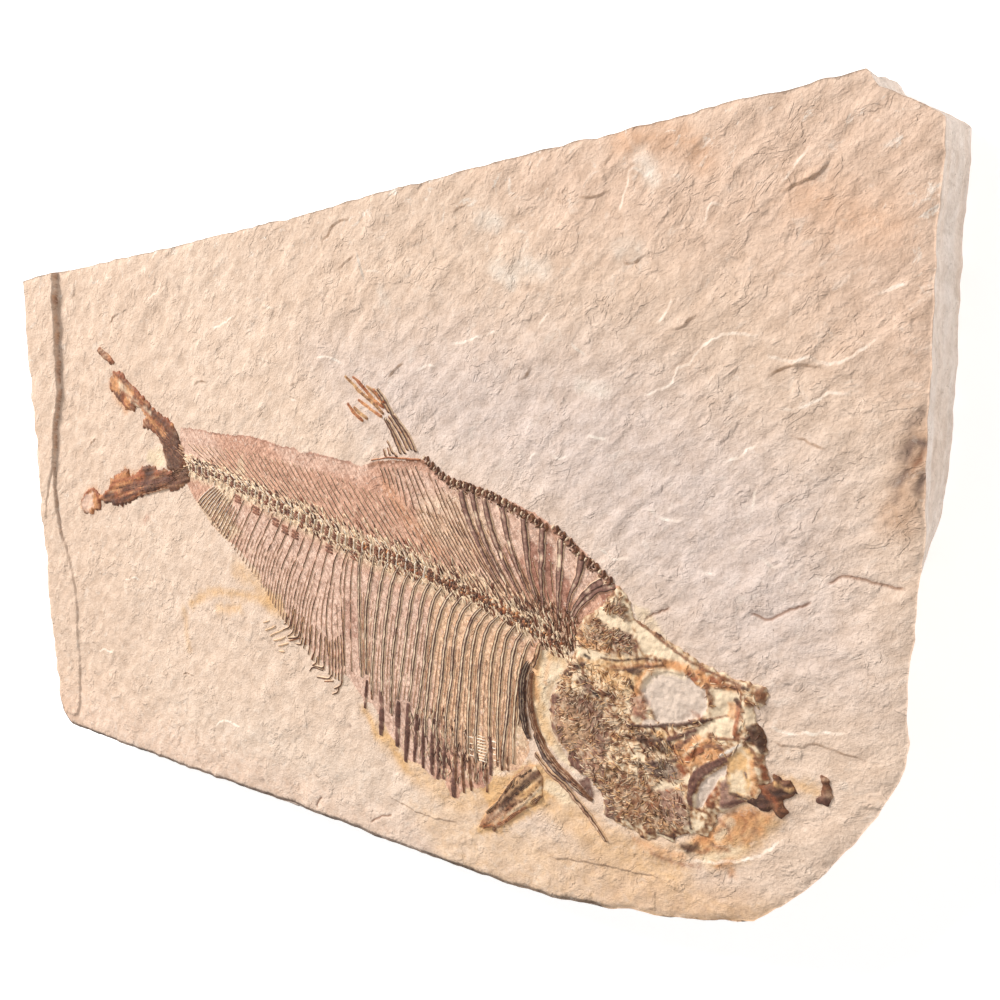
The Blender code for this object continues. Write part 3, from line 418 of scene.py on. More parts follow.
# ---------------------------------------------------------------- painted strokes
# (colour, strength, softness, half width or None for a filled outline, rise, points)
STONE_STROKES = (
    ("warm_stone", 0.7, 14, None, 0, ((60, 84), (160, 84), (160, 20), (140, 30), (120, 50), (80, 62))),
    ("warm_stone", 0.9, 8, None, 0, (
        (-160, -60), (-100, -64), (-20, -68), (60, -72), (110, -66), (118, -80), (-160, -90),
    )),
    ("cool_stone", 0.95, 16, None, 0, (
        (5, 46), (50, 48), (95, 38), (132, 14), (136, -21), (109, -23), (70, 8), (20, 26),
    )),
    ("shade", 0.16, 16, None, 0, ((-165, 100), (-60, 100), (-50, 50), (-96, 10), (-96, -50), (-165, -50))),
    ("ochre", 0.45, 4, None, 0, ((20, -66), (70, -66), (100, -67), (124, -66), (122, -82), (30, -82))),
    ("orange", 0.14, 9, None, 0, ((-150, -50), (-100, -54), (-40, -64), (10, -76), (0, -90), (-160, -90))),
    ("orange", 0.3, 5, 3, 0, ((130, 62), (143, 56))),
    ("orange", 0.35, 3, 2.5, 0, ((96, 78), (108, 76), (112, 72))),
    ("chalk", 0.6, 1.4, 1.6, 0, ((61, 69), (65, 67.5))),
    ("chalk", 0.6, 1.4, 2, 0, ((63.5, 59), (67, 56))),
    ("chalk", 0.5, 1.6, 2, 0, ((70, 58.5), (76, 57))),
    ("chalk", 0.6, 1.2, 1.6, 0, ((100, 74), (102, 70))),
    ("chalk", 0.4, 1.6, 2, 0, ((94, 58.6), (97, 58))),
    ("chalk", 0.5, 1.2, 1.2, 0, ((82, 34), (88, 32.4))),
    ("chalk", 0.5, 1.2, 1.2, 0, ((30, 58), (31, 55))),
    ("shade", 0.75, 2.4, 3.2, 0, ((143, 9), (145.6, 15), (148, 22))),
    ("pit", 0.8, 0.4, 0.6, -0.3, ((145.2, 23.6), (147.6, 26))),
    ("pit", 0.9, 0.4, 0.7, -0.4, ((144, 18.8), (146.2, 22), (147.6, 21))),
    ("brown", 0.8, 0.6, 0.6, -0.4, ((145.4, 17), (147.4, 19.4))),
    ("pit", 0.85, 0.4, 0.6, -0.35, ((142.6, 14.6), (144.8, 16.6))),
    ("pit", 0.8, 0.4, 0.6, -0.3, ((146.2, 13), (147.6, 16.6))),
    ("pit", 0.6, 0.5, 0.4, -0.25, ((142.4, 11.6), (143.4, 12.4))),
    # painted shade: the top of the face towards its head-side end is darkened a little
    ("shade", 0.14, 22, None, 0, ((-40, 95), (120, 95), (165, 60), (165, 24), (60, 36), (0, 48))),
    # painted light: a band along the bottom of the face, towards its tail-side end, is made a little paler
    ("chalk", 0.25, 14, None, 0, ((-140, -60), (-40, -56), (40, -66), (100, -80), (-150, -100))),
)  # fmt: skip
FISH_STROKES = (
    ("ochre", 0.5, 2.5, 4, 0, ((12, -54), (22, -62), (34, -66), (46, -62))),
    ("ochre", 0.75, 0.8, 1.2, 0, ((5, -48.4), (8, -52), (9, -55), (13.4, -54), (14.6, -58), (18, -61.4))),
    ("ochre", 0.7, 1.4, 1.1, 0, ((-66, -27), (-60, -24), (-52, -21.8), (-35, -22.4), (-28, -22.6))),
    ("ochre", 0.55, 1.4, 1.2, 0, ((-52, -27), (-42, -26))),
    ("ochre", 0.5, 1.4, 0.8, 0, ((-70, -29), (-70.5, -35), (-70, -41))),
    ("ochre", 0.7, 2.0, 3, 0, ((-27, -23.4), (-24, -24))),
    ("ochre", 0.45, 2.0, 3, 0, ((-40, -15), (-32, -17.6), (-29, -22))),
    ("ochre", 0.55, 3.0, 4.5, 0, ((62, -60), (76, -67), (92, -68))),
    ("ochre", 0.8, 1.0, None, 0, (
        (40, -58), (50, -57), (56, -53), (62, -52), (66, -57), (58, -64), (46, -72), (38, -74), (44, -66),
    )),
    ("ochre", 0.8, 2.0, None, 0, (
        (94, -63.4), (99, -60), (104, -56), (109, -51), (113, -51), (117, -53), (114, -57), (109, -62),
        (102, -66),
    )),
    ("orange", 0.65, 1.4, None, 0, (
        (98, -61), (103, -57.4), (107, -53), (111, -50.8), (114, -52), (111, -56), (106, -60), (101, -62.4),
    )),
    ("orange", 0.8, 0.6, 0.9, 0, ((98.6, -61.6), (102, -59.4), (104, -57.6))),
    ("orange", 0.8, 0.6, 0.8, 0, ((106.4, -55.6), (109, -53.6), (111, -53))),
    ("orange", 0.7, 0.6, 0.8, 0, ((109.6, -58.4), (112.6, -56))),
    ("cream", 0.8, 0.6, 0.8, 0, ((100, -64.6), (105, -62.4), (108, -60.6))),
    ("cream", 0.8, 0.5, 0.7, 0, ((103, -59.6), (105.6, -57), (106.6, -55))),
    ("rust", 0.6, 0.4, 0.35, 0, ((104, -55.4), (105.8, -56.8), (106, -59))),
    ("rust", 0.6, 0.4, 0.3, 0, ((108.6, -52.6), (109.6, -55), (108.6, -57.6))),
    ("brown", 0.6, 0.3, 0.3, 0, ((110.8, -51.6), (112, -54), (111.4, -55.4))),
    ("rust", 0.55, 0.4, 0.3, 0, ((100.4, -60), (102.6, -61.6), (105.4, -61.6))),
    ("orange", 0.7, 0.5, 0.6, 0, ((103, -65.2), (106, -63.8), (105.6, -66.4))),
    ("orange", 0.5, 0.8, 0.8, 0, ((84, -64.6), (90, -65.4), (95, -65.4))),
    ("orange", 0.6, 0.6, 0.6, 0, ((112.6, -55.6), (114.4, -52.6), (116.6, -50.6))),
    ("brown", 0.7, 0.3, 0.5, -0.1, ((106, -54), (107.4, -53.2))),
    ("brown", 0.6, 0.3, 0.4, -0.1, ((110.6, -53.4), (112.4, -52.2))),
    ("rust", 0.6, 0.3, 0.5, 0, ((96.6, -63.2), (99.6, -63.4), (101, -62.4))),
    ("brown", 0.6, 0.3, 0.3, 0, ((103.6, -64.6), (105.6, -66.4), (104, -67.4))),
    ("tan", 0.35, 0.6, 0.5, 0, ((109, -58), (113.6, -55.6), (116, -52.4))),
    ("rust", 0.35, 0.4, 0.2, 0, ((99, -61), (104, -57.6), (108, -54), (112, -51.4))),
    ("rust", 0.3, 0.4, 0.25, 0, ((103, -62.6), (108, -59.6), (112.6, -54.6))),
    ("rust", 0.5, 0.4, 0.4, 0, ((88, -66.4), (94, -67.2), (99, -66.4))),
    ("ochre", 0.6, 1.2, 1.4, 0, ((118, -45.4), (124, -45.4))),
    ("dark", 0.85, 0.4, None, 0.2, (
        (94.4, -63.4), (96.4, -64.4), (98.6, -63), (99, -61), (97, -62), (95, -62.4),
    )),
    ("cream", 0.95, 0.6, None, 0, (
        (62, -26), (66, -25), (72, -26), (69, -31), (66.5, -34), (64.6, -38), (64.8, -43), (66.6, -47),
        (70, -52.6), (66, -50), (62, -46), (60.4, -41), (60.3, -35), (61.5, -29),
    )),
    ("ochre", 0.65, 1.0, 1.3, 0, ((62.4, -28), (61.6, -34), (61.8, -41), (64, -46))),
    ("orange", 0.6, 0.8, 0.6, 0, ((62, -29), (61.4, -33), (61.4, -37))),
    ("orange", 0.5, 0.6, 0.5, 0, ((66.4, -26.6), (65, -30), (64.4, -33))),
    ("ochre", 0.5, 0.8, 0.8, 0, ((66, -27), (70, -28.4))),
    ("tan", 0.6, 0.5, 0.5, 0, ((66, -33), (64.6, -36.4))),
    ("tan", 0.5, 0.5, 0.5, 0, ((64.4, -44), (67, -48.4))),
    ("cream", 0.9, 0.5, None, 0, ((62, -55.4), (67, -56.4), (71, -60.6), (66, -60), (61, -58))),
    ("plum", 0.9, 0.2, None, 0.1, ((70.4, -54), (72.4, -53.4), (73.8, -51.8), (74.4, -57.2), (73.4, -57.4))),
    ("brown", 0.8, 0.4, 0.8, 0.15, ((68.4, -57), (69.2, -58.8))),
    ("cream", 0.7, 0.6, None, 0, ((88.6, -17.4), (92, -19), (96, -21.4), (92, -15), (88, -14))),
    ("orange", 0.55, 1.5, None, 0, ((-92, 40), (-86, 42), (-80, 37), (-78, 33), (-86, 30), (-91, 35))),
    ("orange", 0.5, 1.2, None, 0, ((-96, 9), (-90, 13.6), (-85, 12.4), (-80, 14), (-90, 8))),
    ("orange", 0.45, 1.2, None, 0, ((-120, 1), (-116, 6), (-108, 8), (-106, 3), (-112, -0.6))),
    ("rust", 0.45, 0.8, 0.7, 0, ((-84, -2.6), (-82, -1.4))),
    ("cream", 0.85, 0.5, None, 0, ((-77, 18), (-69, 20), (-68, 14), (-73, 13.6), (-78, 15.4))),
)  # fmt: skip
FILM_STROKES = (
    ("film_low", 0.9, 3.0, None, 0, (
        (-38, 4), (-20, -1), (0, -8), (15, -13), (33, -19), (36, -30), (30, -50), (26, -62), (16, -57),
        (5, -47), (-8, -42), (-22, -27), (-35, -12),
    )),
    ("film_front", 0.9, 2.5, None, 0, (
        (33, -14), (50, -21), (62, -27), (58, -38), (60, -50), (50, -58), (38, -56), (30, -45), (31, -28),
    )),
    ("pink", 0.6, 1.5, None, 0, ((-20, 20), (-12, 13), (0, 13), (14, 10), (20, 15), (0, 17.6))),
    ("pink", 0.8, 2.5, None, 0, ((-62, 26), (-46, 25), (-40, 17), (-50, 13), (-60, 12))),
    ("pink", 0.9, 1.0, None, 0, (
        (43, 9), (56, 6), (68, 0), (76, -4), (83, -9), (78, -12), (71, -16), (62, -6), (54, -6), (48, -4),
    )),
    ("pink", 0.5, 2.0, None, 0, ((-57, 4), (-44, -6), (-32, -15), (-22, -24), (-28, -8), (-44, 8))),
    ("pink", 0.85, 2.0, None, 0, ((24, 13), (36, 12), (52, 5), (62, -12), (48, -12), (32, 2))),
    ("orange", 0.3, 1.2, 1.6, 0, ((22, 9), (28, 1), (36, -5))),
    ("orange", 0.35, 1.2, 1.2, 0, ((37, 2), (47, -7))),
    ("cream", 0.4, 1.5, None, 0, ((32, 7), (42, 8), (52, 4), (56, -3), (48, -7), (38, -5), (31, 0))),
    ("cream", 0.85, 1.3, 2.8, 0, BACKBONE),
    ("cream", 0.6, 1.4, 2.8, 0, (
        (-57, 13.6), (-30, 6), (-5, -2.4), (5, -6), (22, -11), (40, -16), (60, -22),
    )),
    ("cream", 0.6, 1.0, 1.2, 0, ((40, -11), (50, -12.6), (60, -15.6), (67, -18.6))),
    ("brown", 0.5, 1.0, None, 0, ((66, -15), (72, -16), (77, -18), (75, -25), (67, -25))),
    ("cream", 0.9, 0.4, None, 0, ((-46.4, 6.4), (-42, 8.2), (-38, 6.5), (-38.4, 3.6), (-42.4, 3))),
    ("cream", 0.85, 0.4, None, 0, ((-36, 12), (-33, 16), (-31.6, 17), (-31.4, 12), (-33.6, 10))),
    ("cream", 0.75, 0.6, None, 0, (
        (-56, 3.4), (-50, 6.6), (-44, 3), (-40, -1), (-36, -4), (-44, -7.4), (-52, -0.4),
    )),
    ("rust", 0.5, 0.4, 0.7, 0, ((-38, 15.6), (-36.6, 14.6))),
    ("pink", 0.5, 2.5, None, 0, ((-14, -33), (-5, -29), (0, -31), (-0.4, -39), (-7, -38.6), (-13, -36))),
    ("reddish", 0.5, 0.7, None, 0, ((2, -20), (6.6, -19), (6, -30), (1.2, -30))),
    ("reddish", 0.8, 0.35, None, 0, ((54.4, -4.6), (57, -4), (58, -9), (55.6, -9.4))),
    ("reddish", 0.8, 0.35, None, 0, ((58.8, -6), (61, -6.4), (62, -11.4), (60, -12))),
    ("reddish", 0.85, 0.35, None, 0, ((62.8, -2), (65.6, -3), (65, -14), (63, -14))),
    ("reddish", 0.85, 0.35, None, 0, ((67, -2), (69.4, -3), (69, -14), (66, -15))),
    ("reddish", 0.9, 0.35, None, 0, ((70.6, -8.4), (73, -10), (73.2, -14), (71.6, -17), (70, -16))),
    ("reddish", 0.8, 0.35, None, 0, ((80.6, -12.6), (84, -12), (83, -15.4), (81, -15.6))),
    ("plum", 0.9, 0.3, None, 0.1, ((84, -11), (86.8, -13.4), (87.2, -16.4), (84.6, -16))),
    ("plum", 0.08, 0.8, None, 0, (
        (22, -50), (27, -52), (36, -49.6), (41, -49.4), (41, -56), (39, -61), (35, -61), (28, -60.6),
        (23, -58.4),
    )),
    ("plum", 0.18, 1.0, None, 0, ((8, -40), (16, -42), (24, -44), (22, -50), (12, -48))),
    ("cream", 0.8, 0.3, None, 0, ((19.6, -50), (20.6, -49.6), (19, -54.4), (17.6, -55.4))),
    ("cream", 0.8, 0.3, 0.4, 0, ((28.2, -52), (27.6, -55.4))),
    ("cream", 0.9, 0.4, None, 0, ((46.8, -55.4), (52, -56), (51, -60), (45.6, -60))),
    ("cream", 0.7, 0.6, None, 0, ((54, -44), (57, -44), (57, -49.4), (53.6, -49))),
    ("cream", 0.6, 0.4, 0.5, 0, ((35, -50), (38, -60), (42.6, -60))),
    ("reddish", 0.75, 0.3, None, 0, ((41.8, -56.6), (44.6, -56.4), (43.8, -61.4), (41.4, -60.6))),
    ("reddish", 0.75, 0.2, 0.25, 0, (
        (-57, 25), (-50, 24.2), (-37, 22.4), (-28, 21.9), (-15, 18.9), (-9.6, 18.4), (-5, 17.3),
        (5, 15.7), (11, 14.6),
    )),
    ("brown", 0.8, 0.3, 0.5, 0.1, ((17, 14), (22, 14.9), (33, 15.1), (37, 14))),
)  # fmt: skip
HEAD_STROKES = (
    ("mauve", 0.5, 1.0, None, 0, ((66, -35), (76, -36), (80, -44), (78, -52), (68, -50), (65, -42))),
    ("ochre", 0.55, 1.2, None, 0, (
        (74, -23), (82, -25), (90, -25), (91, -28), (86, -33), (78, -30), (74, -26),
    )),
    ("brown", 0.45, 0.8, None, 0.1, ((74, -19), (78, -18.6), (82, -19.6), (80, -23.4), (74, -23))),
    ("orange", 0.6, 0.6, 0.6, 0, ((76, -22.6), (78.6, -23.6), (82, -23.8))),
    ("rust", 0.6, 0.5, 0.4, 0, ((82, -27.4), (87, -27), (92, -25.6))),
    ("plum", 0.5, 0.8, None, 0.1, ((80, -19.6), (86, -19), (88.6, -20.4), (88.8, -24.4), (82, -24.6))),
    ("plum", 0.6, 0.8, None, 0, ((84, -12), (87, -15), (87.6, -22), (84, -21))),
    ("brown", 0.6, 1.5, None, 0, ((80, -50), (90, -50), (95, -54), (92, -61), (80, -60))),
    ("plum", 0.5, 1.5, None, 0, ((70, -34), (80, -34), (83, -40), (78, -46), (70, -42))),
    ("tan", 0.5, 1.2, None, 0, ((68, -37), (74, -38), (76, -44), (70, -46), (67, -42))),
    ("cream", 0.9, 0.3, None, -0.1, (
        (73.2, -22.2), (75.6, -24.4), (80, -24.4), (82, -25.2), (78, -26.4), (73.4, -26),
    )),
    ("cream", 0.95, 0.3, None, -0.2, (
        (88.6, -17.9), (91.5, -18.8), (96, -21.5), (100.5, -24.2), (99, -24.9), (94, -23.8), (90, -23.4),
        (88.8, -21),
    )),
    ("cream", 0.9, 0.4, None, -0.2, (
        (79.6, -15.4), (84, -16), (87.6, -17.6), (88, -20), (84, -19), (80, -17.8),
    )),
    ("brown", 0.8, 0.3, 0.5, 0.1, ((78.6, -18), (80.6, -18.4), (81, -20))),
    ("cream", 0.95, 0.3, None, -0.25, (
        (104.5, -28.8), (110, -28.4), (110.4, -32), (109, -35), (108.5, -38), (103, -37.8), (99, -40),
        (96.5, -39.6), (101, -37), (105, -34.8), (103.4, -33.5), (105, -31),
    )),
    ("orange", 0.75, 0.5, None, 0, (
        (96, -24.2), (101, -25), (107, -27.3), (112, -28.4), (110, -29), (104, -28.3), (100, -26.2),
        (95, -25.6),
    )),
    ("rust", 0.8, 0.3, 0.7, 0.1, ((99.8, -26.2), (101, -27.2))),
    ("rust", 0.8, 0.3, 0.6, 0.1, ((104.6, -27.2), (106.2, -27.4))),
    ("orange", 0.8, 0.3, 0.6, 0, ((101.4, -28.6), (102.8, -28.6))),
    ("orange", 0.7, 0.5, 0.8, 0.1, ((87.6, -32), (89.2, -28.8), (92, -26.4), (95.5, -25.4), (99, -25.8))),
    ("lilac", 1.0, 0.25, None, -0.45, (
        (88.6, -31.6), (89.6, -29.6), (91.6, -27.4), (95.5, -26.8), (99.6, -27), (101.4, -28.8),
        (103.2, -29.2), (103.4, -33), (102, -34.8), (98, -36.6), (94, -38), (91.4, -37.6), (91, -35.4),
        (89.6, -33.8),
    )),
    ("cream", 0.7, 0.5, 0.7, 0, ((89.4, -30.4), (91, -28), (94, -26.8), (98.6, -27))),
    ("lilac", 0.9, 0.3, None, 0, ((88.4, -37.6), (91, -37), (94.6, -37.8), (91, -38.6), (88, -38.8))),
    ("rust", 0.5, 0.5, 0.5, 0, ((100, -34.4), (101.4, -35.2))),
    ("brown", 0.85, 0.3, 0.55, 0.2, ((103.5, -28.4), (104.2, -30.6), (104.4, -32.4))),
    ("dark", 0.9, 0.2, 0.24, -0.1, ((79.8, -25.7), (83.6, -25.9), (87, -25.2), (90, -24.8), (94, -24.5))),
    ("black", 0.9, 0.2, 0.4, -0.1, ((75.8, -25.8), (76.8, -26.2))),
    ("dark", 0.85, 0.3, 0.25, 0, ((82.6, -28), (86.4, -27.4), (90.4, -26.2), (94, -25.6))),
    ("dark", 0.9, 0.3, None, 0.1, ((85.4, -27.3), (88, -26.6), (89.6, -27), (88.6, -28.6), (86.8, -28))),
    ("dark", 0.9, 0.2, 0.3, 0, ((86.4, -29.6), (86.8, -31.2))),
    ("dark", 0.9, 0.3, 0.6, 0.1, ((70, -30.3), (71.3, -30.1))),
    ("dark", 0.9, 0.3, 0.5, 0.1, ((72.8, -27.8), (74, -28.4), (75.6, -27.4))),
    ("plum", 0.85, 0.5, 1.1, 0.1, ((75, -31.4), (76.6, -32.8))),
    ("black", 0.95, 0.3, 0.6, 0, ((77.4, -33.4), (78.2, -34))),
    ("reddish", 0.6, 0.5, None, 0.2, (
        (86.5, -33), (89, -32.4), (90.3, -34.5), (89.6, -37), (87, -37.6), (86, -36),
    )),
    ("plum", 0.8, 0.3, None, 0.1, ((65.6, -35.8), (68, -34.8), (68, -37), (65.4, -37.8))),
    ("plum", 0.7, 0.4, None, 0.1, ((64.9, -42), (68, -42.2), (68.6, -45), (66.6, -45.8), (65.2, -44))),
    ("plum", 0.85, 0.3, None, 0.1, ((68.6, -49), (70.5, -47.4), (73.6, -50), (73.4, -52.6), (69, -51.2))),
    ("plum", 0.8, 0.3, None, 0.1, ((77.4, -57), (79.4, -55), (80.4, -58), (79.6, -61.2), (76.6, -60.6))),
    ("plum", 0.6, 0.5, None, 0.1, ((74, -53), (79, -53), (80.6, -56), (77, -56.6))),
    ("dark", 0.7, 0.5, None, 0.15, (
        (86.4, -40), (90, -39.5), (94.6, -41), (94, -43.4), (90, -44), (87, -42.4),
    )),
    ("ochre", 0.7, 0.3, None, 0.1, ((90.6, -39.4), (93.6, -39.2), (94.6, -40), (92, -40.6))),
    ("grey", 0.75, 0.5, None, 0.15, (
        (90, -45.6), (94, -45.2), (96, -46.6), (95.6, -49), (91, -49.2), (88, -47.6),
    )),
    ("cream", 0.95, 0.25, None, -0.2, ((85.2, -44.6), (88.6, -44.8), (88.6, -46.3), (85.3, -46.1))),
    ("dark", 0.9, 0.2, 0.3, 0.1, ((84.6, -47), (89, -46.6), (92, -45.6), (95.4, -44.8))),
    ("cream", 0.95, 0.25, None, -0.2, (
        (90.2, -51.8), (91.4, -49.8), (94, -49.8), (97.4, -49.2), (95, -50.6), (92.6, -51.8),
    )),
    ("orange", 0.8, 0.4, None, 0, (
        (96, -41), (101, -38.4), (104, -39.5), (107.4, -41), (104.5, -43.2), (101, -44.6), (97.5, -46),
        (95.6, -43),
    )),
    ("plum", 0.8, 0.3, 0.45, 0.1, ((96.4, -41.8), (99.8, -39))),
    ("rust", 0.85, 0.3, 0.6, 0.1, ((98.2, -44), (100, -42.4), (101.6, -41.4))),
    ("plum", 0.8, 0.3, 0.4, 0.1, ((102.4, -40.6), (104.6, -40), (106, -40.6))),
    ("rust", 0.7, 0.4, 0.7, 0.1, ((97.4, -46.6), (96.4, -48), (97, -45.6))),
    ("cream", 0.9, 0.2, 0.25, 0, ((97.4, -43.4), (99.6, -41.4), (102, -39.4))),
    ("dark", 0.95, 0.15, 0.34, 0.25, (
        (85, -39.3), (88, -38.9), (92, -38.2), (97, -37.2), (101, -36), (104, -35),
    )),
    ("brown", 0.9, 0.2, 0.2, 0.1, ((104, -34.9), (107.6, -33.8))),
    ("plum", 0.95, 0.2, 0.5, 0.25, ((94.6, -40.5), (97.5, -39.3), (100.4, -37.7))),
    ("dark", 0.9, 0.2, 0.3, 0.15, ((87, -41.9), (91, -41.3), (94.6, -40.8))),
    ("brown", 0.9, 0.2, 0.25, 0.15, ((105, -38.6), (109, -38.1), (112, -37.3))),
    ("chalk", 0.9, 0.2, 0.25, 0.1, ((105.5, -41.9), (108, -40.3), (109.9, -39))),
    ("plum", 0.97, 0.15, None, 0.3, (
        (107.7, -41.2), (104.5, -42.8), (101.5, -44.4), (99.2, -46.3), (98, -49), (97.7, -53.4),
        (98.8, -53.6), (99.2, -51), (100.6, -48), (103.2, -45.6), (106.3, -43.4), (107.7, -42.4),
    )),
    ("lilac", 1.0, 0.15, None, -0.35, (
        (99.2, -53.8), (99.8, -50.8), (101, -48.3), (103.4, -46), (106.8, -43.6), (106.3, -46), (105, -46.5),
        (104, -48.5), (101.5, -52), (100.8, -53.6),
    )),
    ("rust", 0.6, 0.2, None, 0.1, (
        (101.2, -52.8), (102, -50.8), (104, -48.4), (105.6, -47.3), (105, -49.5), (103, -52.6),
    )),
    ("mauve", 0.9, 0.3, None, 0.15, (
        (105.4, -47.2), (106.8, -45.8), (107, -49.3), (109.5, -50.4), (108, -52.5), (104.5, -52.8),
        (105, -50),
    )),
    ("plum", 0.8, 0.3, 0.5, 0.1, ((105.4, -51.6), (107.6, -51), (109.4, -50.4))),
    ("ochre", 0.9, 0.4, None, -0.1, (
        (107.2, -42.3), (110.5, -39.2), (112.4, -40.5), (111.8, -45), (110.3, -49.3), (107.1, -49.2),
        (106.8, -45.5),
    )),
    ("cream", 0.85, 0.5, None, 0, ((107.2, -45), (110, -44), (110.6, -49), (107.4, -48.8))),
    ("cream", 0.7, 0.4, 0.4, 0, ((109.4, -39.6), (111.4, -41.6), (111.4, -45))),
    ("grey", 0.9, 0.2, 0.3, 0, ((110.3, -44.5), (110.6, -45.3))),
    ("rust", 0.85, 0.3, 0.55, 0.1, ((114, -42.6), (114.6, -44.8))),
    ("brown", 0.8, 0.2, 0.35, 0.1, ((112, -39.6), (113.6, -41.8))),
    ("orange", 0.6, 0.4, 0.6, 0, ((111.8, -42), (112.4, -46), (112.2, -49))),
    ("dark", 0.9, 0.2, 0.25, 0.1, ((107, -49.2), (111, -49.8))),
    ("orange", 0.7, 0.4, 0.9, 0, ((108.6, -31.6), (108.4, -33.4))),
    ("rust", 0.85, 0.3, 0.6, 0.15, ((109.9, -31), (109.6, -34), (109, -37))),
    ("dark", 0.9, 0.2, 0.5, 0.1, ((109.4, -30.5), (110.3, -31.3))),
    ("brown", 0.9, 0.2, 0.5, 0.1, ((111.6, -30), (112.4, -31))),
    ("brown", 0.9, 0.2, 0.25, 0.1, ((110.6, -28.8), (110.4, -31))),
    ("brown", 0.9, 0.2, 0.27, 0.15, (
        (88.6, -17.3), (92, -19.2), (96, -21.7), (100, -24), (104, -25.6), (108, -26.8), (111.5, -27.8),
    )),
    ("brown", 0.9, 0.2, 0.35, 0.1, ((105.5, -28.5), (108, -27.8), (110.5, -28.2))),
    ("dark", 0.9, 0.2, 0.4, 0.1, ((111.2, -27.7), (112, -27.9))),
    ("dark", 0.9, 0.3, None, 0.25, (
        (111.2, -34.9), (113.5, -34.6), (114.7, -36), (115, -39.8), (114, -40), (112.4, -38.4), (111, -37.6),
        (112, -36.4),
    )),
    ("cream", 0.85, 0.3, None, -0.1, (
        (111.6, -31.4), (113, -31.4), (113, -34.2), (111.4, -34.6), (110.6, -33),
    )),
    ("brown", 0.9, 0.3, None, 0.2, ((113.3, -27.4), (115.4, -27), (115.6, -30.8), (113.5, -30.2))),
    ("mauve", 0.7, 0.5, None, 0, ((91, -51.8), (96.8, -50.4), (97.4, -58), (92, -57.6))),
    ("dark", 0.9, 0.15, 0.22, 0.1, ((97.6, -54), (97.8, -58.6))),
    ("cream", 0.95, 0.2, 0.42, 0, ((90.9, -62), (93, -62))),
    ("dark", 0.9, 0.15, 0.22, 0.1, ((89.8, -61.4), (92, -61.2), (94.2, -61.8))),
)  # fmt: skip


# ---------------------------------------------------------------- tools
def smooth(low, high, value):
    part = np.clip((value - low) / (high - low), 0, 1)
    return part * part * (3 - 2 * part)


def noise(x, y, size, layer=0.0):
    """Smooth bumps between about -1 and 1, size millimetres apart."""
    x = np.asarray(x, float) / size + 57.31 * layer
    y = np.asarray(y, float) / size + 31.73 * layer
    left, low = np.floor(x), np.floor(y)
    total = 0
    for column in (0, 1):
        for row in (0, 1):
            mixed = np.sin((left + column) * 127.1 + (low + row) * 311.7) * 43758.5453
            angle = 2 * math.pi * (mixed - np.floor(mixed))
            away_x, away_y = x - left - column, y - low - row
            fade = (1 - smooth(0, 1, abs(away_x))) * (1 - smooth(0, 1, abs(away_y)))
            total = total + fade * (np.cos(angle) * away_x + np.sin(angle) * away_y)
    return 1.6 * total


def streaks(x, y, size, layer=0.0, angle=GRAIN, along=0.45):
    """Bumps drawn out in one direction."""
    u, v = x * math.cos(angle) + y * math.sin(angle), y * math.cos(angle) - x * math.sin(angle)
    return noise(along * u, v, size, layer)


def evenly(line, step):
    """Points about step apart along a line of points."""
    line = np.asarray(line, float)
    lengths = np.r_[0, np.cumsum(np.hypot(*np.diff(line, axis=0).T))]
    places = np.linspace(0, lengths[-1], max(2, round(lengths[-1] / step) + 1))
    return np.column_stack([np.interp(places, lengths, line[:, k]) for k in (0, 1)])


def smooth_line(points, step):
    """Points about step apart along a smooth curve through the given ones."""
    ends = np.array(points, float)
    ends = np.vstack([2 * ends[0] - ends[1], ends, 2 * ends[-1] - ends[-2]])
    t = np.linspace(0, 1, 12, endpoint=False)[:, None]
    found = []
    for a, b, c, d in zip(ends, ends[1:], ends[2:], ends[3:]):
        curve = (c - a) * t + (2 * a - 5 * b + 4 * c - d) * t**2 + (3 * b - a - 3 * c + d) * t**3
        found.append(b + curve / 2)
    return evenly(np.vstack([*found, ends[-2:-1]]), step)


def resampled(line):
    """Seven points evenly along a smooth curve through the given ones."""
    curve = smooth_line(line, 0.3)
    return curve[np.linspace(0, len(curve) - 1, 7).round().astype(int)]


def between(patterns, place):
    """One of a row of lines, blended from the two patterns beside its place."""
    for (first, start), (last, end) in zip(patterns, patterns[1:]):
        if place <= last + 1e-6:
            part = (place - first) / (last - first)
            return (1 - part) * resampled(start) + part * resampled(end)


def distance(x, y, line):
    """The distance of each place to a line of points."""
    best = np.full(np.shape(x), np.inf)
    for (ax, ay), (bx, by) in zip(line, line[1:]):
        dx, dy = bx - ax, by - ay
        part = np.clip(((x - ax) * dx + (y - ay) * dy) / max(dx * dx + dy * dy, 1e-9), 0, 1)
        best = np.minimum(best, np.hypot(x - ax - part * dx, y - ay - part * dy))
    return best


def beside(x, y, line):
    """The distance to a line of points, its sign positive on the left, and the length along the line."""
    best, length, gone = np.full(np.shape(x), 1e9), np.zeros(np.shape(x)), 0.0
    for (ax, ay), (bx, by) in zip(line, line[1:]):
        dx, dy = bx - ax, by - ay
        long = math.hypot(dx, dy)
        part = np.clip(((x - ax) * dx + (y - ay) * dy) / long**2, 0, 1)
        away = np.hypot(x - ax - part * dx, y - ay - part * dy)
        nearer = away < abs(best)
        side = np.where(dx * (y - ay) - dy * (x - ax) > 0, 1, -1)
        best = np.where(nearer, side * away, best)
        length = np.where(nearer, gone + part * long, length)
        gone += long
    return best, length, gone


